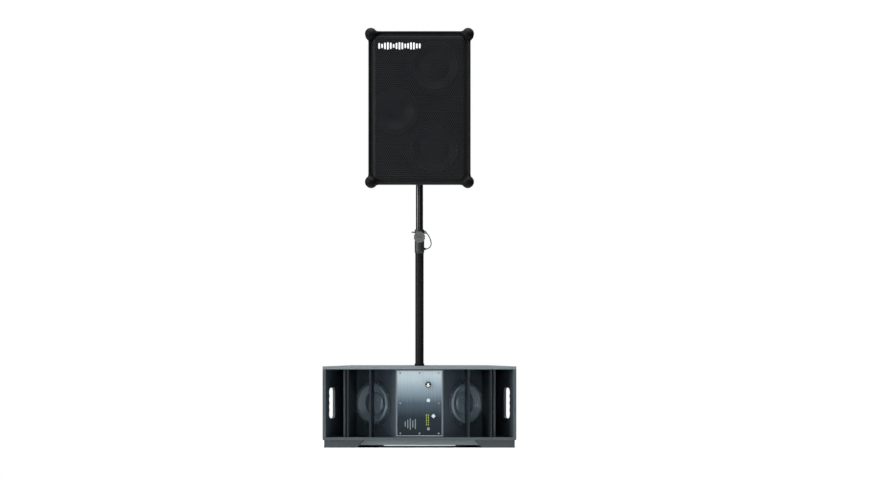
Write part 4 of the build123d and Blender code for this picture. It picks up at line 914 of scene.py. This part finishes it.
for word, side in (("left", -1), ("right", 1)):
    place = driver_place(side)
    roll_line = [(RIM_RADIUS, SEAT)] + arc_points((ROLL_OUT, SEAT), (ROLL_IN, SEAT), ROLL_RISE,
                                                   ROLL_STEPS)
    roll_line += [(ROLL_IN - 3 * MM, SEAT - 1.5 * MM)]
    surround = revolved(f"sub_surround_{word}", skin_of(roll_line, SKIN_THICKNESS), place)
    dress(surround, roll_foam, "subwoofer", "cone_paper", f"sub_cone_{word}")
    cone_line = []
    for step in range(CONE_STEPS + 1):
        t = step / CONE_STEPS
        radius = ROLL_IN + 1 * MM - (ROLL_IN - CAP_RADIUS + 4 * MM) * t
        rib = RIB_RISE * math.sin(2 * math.pi * RIBS_ON_CONE * t)
        cone_line.append((radius, SEAT - 0.6 * MM - CONE_FALL * t**0.9 + rib))
    cone = revolved(f"sub_cone_skin_{word}", skin_of(cone_line, SKIN_THICKNESS), place)
    dress(cone, cone_pulp, "subwoofer", "cone_paper")
    cap_line = []
    for step in range(CAP_STEPS + 1):
        t = step / CAP_STEPS
        cap_line.append((CAP_RADIUS * (1 - t) + AXIS,
                         SEAT - CONE_FALL * 0.85 + CAP_RISE * math.sqrt(1 - (1 - t) ** 2 * 0.98)))
    cap = revolved(f"sub_dust_cap_{word}", skin_of(cap_line, SKIN_THICKNESS), place)
    dress(cap, cap_pulp, "subwoofer", "cone_paper")
    gasket_line = [(FRAME_RADIUS - 2 * MM, FLANGE), (FRAME_RADIUS - 2 * MM, FLANGE + 1.5 * MM),
                   (FRAME_RADIUS - 3 * MM, FLANGE + GASKET_RISE),
                   (RIM_RADIUS + 3 * MM, FLANGE + GASKET_RISE),
                   (RIM_RADIUS + 1 * MM, FLANGE + 1 * MM), (RIM_RADIUS + 1 * MM, FLANGE)]
    gasket = revolved(f"sub_gasket_{word}", gasket_line, place)
    dress(gasket, basket_coating, "subwoofer", "basket_metal")
    lip_line = [(RIM_RADIUS + TRIM_WIRE * math.cos(2 * math.pi * step / WIRE_STEPS),
                 FLANGE + 0.6 * MM + TRIM_WIRE * math.sin(2 * math.pi * step / WIRE_STEPS))
                for step in range(WIRE_STEPS)]
    lip = revolved(f"sub_trim_ring_{word}", lip_line, place)
    dress(lip, bright_zinc, "subwoofer", "basket_metal")
    print(word, "driver at", [round(v, 3) for v in place.translation])

# %% [markdown]
# Every screw is the same cap head: a disc with a rounded shoulder and a socket in its top. The
# heads are one Geometry Nodes tree that grows a circle upwards in steps and sinks the socket. It
# sets a head on each point of a small mesh, turned to the point's own facing direction.


# %% Screw heads
def screw_tree(material):
    """A cap-head screw on each point, standing along the point's facing attribute."""
    tree, given, result = new_tree("cap_head_screws", ("Radius", "Height"))
    radius, height = given.outputs["Radius"], given.outputs["Height"]
    disc = put(tree, "GeometryNodeMeshCircle", {"Vertices": 18, "Radius": radius}, fill_type="NGON")
    mesh, top = step_face(tree, disc.outputs["Mesh"], None,
                          number(tree, "MULTIPLY", height, 0.6), 1.0)
    mesh, top = step_face(tree, mesh, top, number(tree, "MULTIPLY", height, 0.25), 0.92)
    mesh, top = step_face(tree, mesh, top, number(tree, "MULTIPLY", height, 0.15), 0.85)
    mesh, top = step_face(tree, mesh, top, 0.0, 0.6)
    mesh, top = step_face(tree, mesh, top, number(tree, "MULTIPLY", height, -0.6), 0.95)
    facing = put(tree, "GeometryNodeInputNamedAttribute", {"Name": "facing"},
                 data_type="FLOAT_VECTOR")
    turn = put(tree, "FunctionNodeAlignRotationToVector", {"Vector": facing.outputs[0]}, axis="Z")
    heads = put(tree, "GeometryNodeInstanceOnPoints", {"Points": given.outputs["Geometry"],
                                                       "Instance": mesh,
                                                       "Rotation": turn.outputs[0]})
    real = put(tree, "GeometryNodeRealizeInstances", {"Geometry": heads.outputs[0]})
    painted = put(tree, "GeometryNodeSetMaterial", {"Geometry": real.outputs[0]})
    painted.inputs["Material"].default_value = material
    tree.links.new(painted.outputs[0], result.inputs[0])
    return tree


def facing_points(name, places):
    """A mesh of loose points, each with the direction that it faces."""
    mesh = bpy.data.meshes.new(name)
    mesh.from_pydata([tuple(point) for point, _ in places], [], [])
    facing = mesh.attributes.new("facing", "FLOAT_VECTOR", "POINT")
    for i, (_, direction) in enumerate(places):
        facing.data[i].vector = tuple(direction)
    return mesh


cap_screws = screw_tree(bright_zinc)
TO_FRONT = Vector((0, -1, 0))
TO_BACK = Vector((0, 1, 0))
plate_middle = (plate_low[2] + plate_high[2]) / 2
PLATE_SCREW_X = plate_high[0] - 14 * MM
PLATE_SCREW_Z = (plate_high[2] - plate_low[2]) / 2 - 9.33 * MM
screw_places = [
    (Vector((x, plate_low[1], plate_middle + z)), TO_FRONT)
    for x in (-PLATE_SCREW_X, 0, PLATE_SCREW_X)
    for z in (-PLATE_SCREW_Z, 0, PLATE_SCREW_Z)
    if x or z
]
SCREW_CIRCLE = FRAME_RADIUS - 6.5 * MM
SCREWS_PER_DRIVER = 8
FIRST_SCREW_ANGLE = 22.5
for side in (-1, 1):
    place = driver_place(side)
    for step in range(SCREWS_PER_DRIVER):
        angle = math.radians(FIRST_SCREW_ANGLE + 360 / SCREWS_PER_DRIVER * step)
        local = Vector((SCREW_CIRCLE * math.cos(angle), SCREW_CIRCLE * math.sin(angle),
                        FLANGE + GASKET_RISE))
        screw_places.append((place @ local, place.to_3x3() @ Vector((0, 0, 1))))
screws = made_by(cap_screws, "cap_head_screws", {"Radius": 4 * MM, "Height": 3 * MM}, bright_zinc,
                 facing_points("screw_points", screw_places))
dress(screws, bright_zinc, "subwoofer", "screw_steel", "screws")
print(len(screw_places), "screws")

# %% [markdown]
# The amplifier plate carries a turned chrome knob with a knurled skirt, a ring of dots that shows
# its travel, a bright edge trim, caps on the two buttons and a printed mark. The dots and the
# knurls repeat on a circle, so a loop places them.


# %% The amplifier plate's details
def on_plate(x_mm, z_mm, forward_mm=0.0):
    """A place counted from the plate's centre, in millimetres."""
    return Vector((x_mm * MM, plate_low[1] - forward_mm * MM, plate_middle + z_mm * MM))


def facing_matrix(place, direction=TO_FRONT):
    """Puts local Z along a direction, at a place."""
    return Matrix.Translation(place) @ direction.to_track_quat("Z", "Y").to_matrix().to_4x4()


TRIM = [(0, -1.6), (0, 3), (3.2, 3), (3.2, -0.6), (2.4, -1.6)]
TRIM_LAP = 1.5 * MM
trim = mitred_frame("plate_trim", plate_high[0] + TRIM_LAP,
                    (plate_high[2] - plate_low[2]) / 2 + TRIM_LAP, plate_middle, plate_low[1],
                    in_mm(TRIM))
dress(trim, bright_zinc, "subwoofer", "amp_metal")

KNOB_AT = (36, 77)
KNOB_LIFT, CAP_LIFT = 0.3, 14.5
knob_profile = [(0.001, 0), (13.5, 0), (13.5, 3), (12.6, 4), (12.2, 12.5), (11.2, 14.2), (9.4, 15),
                (8.6, 14.4), (0.001, 14.4)]
knob = revolved("level_knob_skirt", in_mm(knob_profile, KNOB_LIFT),
                facing_matrix(on_plate(*KNOB_AT)), 144, 24, 0.7 * MM)
dress(knob, smoked_chrome, "level_knob", "knob_chrome", "level_knob")
cap_profile = [(0.001, 0), (8.4, 0), (8.4, 0.5), (7.6, 0.9), (0.001, 1.1)]
knob_cap = revolved("level_knob_cap", in_mm(cap_profile, CAP_LIFT),
                    facing_matrix(on_plate(*KNOB_AT)))
dress(knob_cap, chrome, "level_knob", "knob_chrome")

MODE_AT = (37, 12)
mode_profile = [(0.001, 0.4), (7.5, 0.4), (7.5, 2.2), (6.8, 3), (5.6, 3), (4.4, 2.5), (0.001, 2.3)]
mode = revolved("mode_button_dished", in_mm(mode_profile),
                facing_matrix(on_plate(*MODE_AT)))
dress(mode, button_plastic, "mode_button", "button_plastic", "mode_button")

SYNC_AT = (58, -53)
SQUARE_CORNER = 13 / math.sqrt(2)
sync_profile = [(0.001, 0.4), (SQUARE_CORNER, 0.4), (SQUARE_CORNER, 2.4),
                (SQUARE_CORNER - 1.2, 3.2), (0.001, 3.2)]
sync = revolved("sync_button_bevelled", in_mm(sync_profile),
                facing_matrix(on_plate(*SYNC_AT)), 4)
dress(sync, button_plastic, "sync_button", "button_plastic", "sync_button")


TRAVEL = 150  # degrees that a knob turns each way from upright
DOT_COUNT = 11


def ring_of_dots(name, centre, direction, radius, dot):
    """Small raised dots round a control, over its travel, clockwise from the lower left."""
    shape = bmesh.new()
    side = -1 if direction.y < 0 else 1
    for step in range(DOT_COUNT):
        angle = math.radians(90 - TRAVEL + 2 * TRAVEL * step / (DOT_COUNT - 1))
        spot = Vector((centre.x - side * radius * math.cos(angle), centre.y,
                       centre.z + radius * math.sin(angle)))
        bmesh.ops.create_cone(shape, cap_ends=True, segments=12, radius1=dot, radius2=dot * 0.8,
                              depth=0.6 * MM, matrix=facing_matrix(spot, direction))
    return keep_mesh(name, shape)


dots = ring_of_dots("level_dots", on_plate(*KNOB_AT), TO_FRONT, 18.5 * MM, 0.9 * MM)
dress(dots, printed_grey, "subwoofer", "amp_metal")

pointer_shape = bmesh.new()
rounded_bar(pointer_shape, KNOB_AT[0] * MM, plate_middle + (KNOB_AT[1] + 6) * MM, 1.8 * MM, 6 * MM,
            plate_low[1] - 16.1 * MM, 0.8 * MM)
pointer = keep_mesh("level_pointer", pointer_shape)
dress(pointer, nylon, "level_knob", "knob_chrome")

MARK_AT = (-38, -86)
MARK_HEIGHTS = (22, 36, 48, 30, 42)
MARK_PITCH = 10.5
mark_shape = bmesh.new()
for step, height in enumerate(MARK_HEIGHTS):
    rounded_bar(mark_shape, (MARK_AT[0] + (step - 2) * MARK_PITCH) * MM,
                plate_middle + MARK_AT[1] * MM, 4 * MM, height * MM,
                plate_low[1] - 0.4 * MM, 0.5 * MM)
mark = keep_mesh("printed_bars_mark", mark_shape)
dress(mark, printed_grey, "subwoofer", "amp_metal")
print(DOT_COUNT, "dots and", len(MARK_HEIGHTS), "printed bars on the plate")

# %% [markdown]
# The loudspeaker's back has a recessed control panel and a battery hatch. Their solids come from
# the CAD, and here they get what the hand and the eye look for: a fluted knob, dots round it, nuts
# on the jacks, a lit ring, screws, and ribs that stiffen the hatch's thin door.

# %% The control panel and the hatch
panel_low, panel_high = span("control_panel")
volume_low, volume_high = span("volume_knob")
jacks_low, jacks_high = span("jacks")
power_low, power_high = span("power_button")
hatch_low, hatch_high = span("battery_hatch")
volume_middle = (volume_low + volume_high) / 2
power_middle = (power_low + power_high) / 2
PANEL_FLOOR = 126 * MM
SCREW_INSET = 12 * MM

volume_at = Vector((volume_middle.x, PANEL_FLOOR, volume_middle.z))
volume_profile = [(0.001, 0.3), (19, 0.3), (19, 3), (17.4, 5), (16.6, 14), (15, 16), (12, 16.2),
                  (11, 15.4), (0.001, 15.4)]
volume = revolved("volume_knob_fluted", in_mm(volume_profile),
                  facing_matrix(volume_at, TO_BACK), 160, 20, 1.1 * MM)
dress(volume, nylon, "volume_knob", "knob_chrome", "volume_knob")
volume_mark = bmesh.new()
rounded_bar(volume_mark, volume_at.x, volume_at.z + 6 * MM, 2 * MM, 8 * MM,
            PANEL_FLOOR + 15.2 * MM, 0.7 * MM)
dress(keep_mesh("volume_pointer", volume_mark), white_enamel, "volume_knob", "knob_chrome")
volume_dots = ring_of_dots("volume_dots", volume_at, TO_BACK, 24 * MM, 1.1 * MM)
dress(volume_dots, white_enamel, "speaker", "panel_plastic")

nut_profile = [(3.7, 0), (8, 0), (8, 1.2), (7.2, 1.8), (4.8, 1.8), (3.7, 1.0)]
for word, x in (("inner", jacks_low.x + 8 * MM), ("outer", jacks_high.x - 8 * MM)):
    nut = revolved(f"jack_nut_{word}", in_mm(nut_profile),
                   facing_matrix(Vector((x, jacks_high.y, volume_at.z)), TO_BACK), 48)
    dress(nut, bright_zinc, "speaker", "socket_metal")

ring_profile = [((10.6 + 0.8 * math.cos(math.pi * i / 6)) * MM,
                 (0.4 + 0.8 * math.sin(math.pi * i / 6)) * MM) for i in range(12)]
power_ring = revolved("power_ring_light", ring_profile,
                      facing_matrix(Vector((power_middle.x, PANEL_FLOOR, power_middle.z)), TO_BACK))
dress(power_ring, meter_glow, "speaker", "meter_light")

panel_screw_places = [
    (Vector((x, PANEL_FLOOR, z)), TO_BACK)
    for x in (panel_low.x + SCREW_INSET, panel_high.x - SCREW_INSET)
    for z in (panel_low.z + SCREW_INSET, panel_high.z - SCREW_INSET)
]
panel_screws = made_by(cap_screws, "panel_screws", {"Radius": 3.4 * MM, "Height": 2 * MM},
                       bright_zinc, facing_points("panel_screw_points", panel_screw_places))
dress(panel_screws, bright_zinc, "speaker", "screw_steel")

RIB_COUNT = 7
RIB_PITCH = 17 * MM
DOOR_SINK = 0.1 * MM  # ribs and latch start this far inside the door
ribs = bmesh.new()
hatch_middle = (hatch_low + hatch_high) / 2
for step in range(RIB_COUNT):
    rounded_bar(ribs, hatch_middle.x - 10 * MM,
                hatch_middle.z + (step - (RIB_COUNT - 1) / 2) * RIB_PITCH, 6 * MM, 168 * MM,
                hatch_high.y - DOOR_SINK, 1.5 * MM, lying=True)
dress(keep_mesh("hatch_ribs", ribs), battery_plastic, "battery_hatch", "panel_plastic")
latch = bmesh.new()
rounded_bar(latch, hatch_high.x - 13 * MM, hatch_middle.z, 14 * MM, 44 * MM,
            hatch_high.y - DOOR_SINK, 3.2 * MM)
dress(keep_mesh("hatch_latch", latch), nylon, "battery_hatch", "panel_plastic")
print(len(panel_screw_places), "panel screws and", RIB_COUNT, "ribs on the hatch")

# %% [markdown]
# The lock pin hangs on a short lanyard, a coated wire rope. Such ropes are crimped into a metal
# sleeve at each end. It is a free cord, so it is one smooth NURBS line along the CAD tube's route.
# One end sits at the pin and the other at the collar's eye; the rope is attached to no body here,
# so it does not bend between the two. A blend between them could not hold a length: with the pin
# fully out the rope would be about 12 % too long.

# %% The lanyard and its sleeves
LANYARD_ROUTE = [(26.3, 892), (35.5, 882.5), (42.5, 869), (48, 855.5), (49, 842), (44.5, 831),
                 (35.5, 824.5), (26.9, 822.5)]
CORD_RADIUS = 2 * MM


def rope_line(name, radius):
    """The lanyard's smooth line as an object: bare for a radius of 0, else with a round skin."""
    line = bpy.data.curves.new(name, "CURVE")
    line.dimensions = "3D"
    line.resolution_u = 16
    line.bevel_depth = radius
    line.bevel_resolution = 6
    line.use_fill_caps = radius > 0
    spline = line.splines.new("NURBS")
    spline.points.add(len(LANYARD_ROUTE) - 1)
    for point, (x, z) in zip(spline.points, LANYARD_ROUTE):
        point.co = (x * MM, 0, z * MM, 1)
    spline.order_u = 3
    spline.use_endpoint_u = True
    return bpy.data.objects.new(name, line)


followed = bpy.data.meshes.new_from_object(rope_line("lanyard_line", 0))
rope_path = [tuple(vertex.co) for vertex in followed.vertices]
rope_mesh = bpy.data.meshes.new_from_object(rope_line("lanyard_skin", CORD_RADIUS))
lanyard = keep_object("pin_lanyard_rope", rope_mesh, 60)
lanyard.data.materials.clear()
lanyard.data.materials.append(cord_coating)
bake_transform(lanyard)
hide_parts("pin_lanyard")
FERRULE_RADIUS = 3 * MM
FERRULE_ROUND = 0.5 * MM


def ferrule(name, start, end, body):
    """A crimped sleeve around one end of the rope, from one (x, height) in mm to another."""
    (x0, z0), (x1, z1) = start, end
    along = Vector((x1 - x0, 0, z1 - z0)) * MM
    place = facing_matrix(Vector((x0 * MM, 0, z0 * MM)), along)
    reach = along.length
    profile = [(AXIS, 0), (FERRULE_RADIUS, 0), (FERRULE_RADIUS, reach - FERRULE_ROUND),
               (FERRULE_RADIUS - FERRULE_ROUND, reach), (AXIS, reach)]
    dress(revolved(name, profile, place, segments=32), bright_zinc, body, "pin_steel")


# The sleeves reach into the eye and into the pin's head, so no gap shows at either end.
ferrule("lanyard_ferrule_eye", (24.5, 822.2), (31, 823.3), "subwoofer")
ferrule("lanyard_ferrule_pin", (25, 893.4), (30.5, 887.5), "lock_pin")
rope_length = sum(math.dist(p, q) for p, q in zip(rope_path, rope_path[1:]))
print("lanyard", round(rope_length, 4), "m")
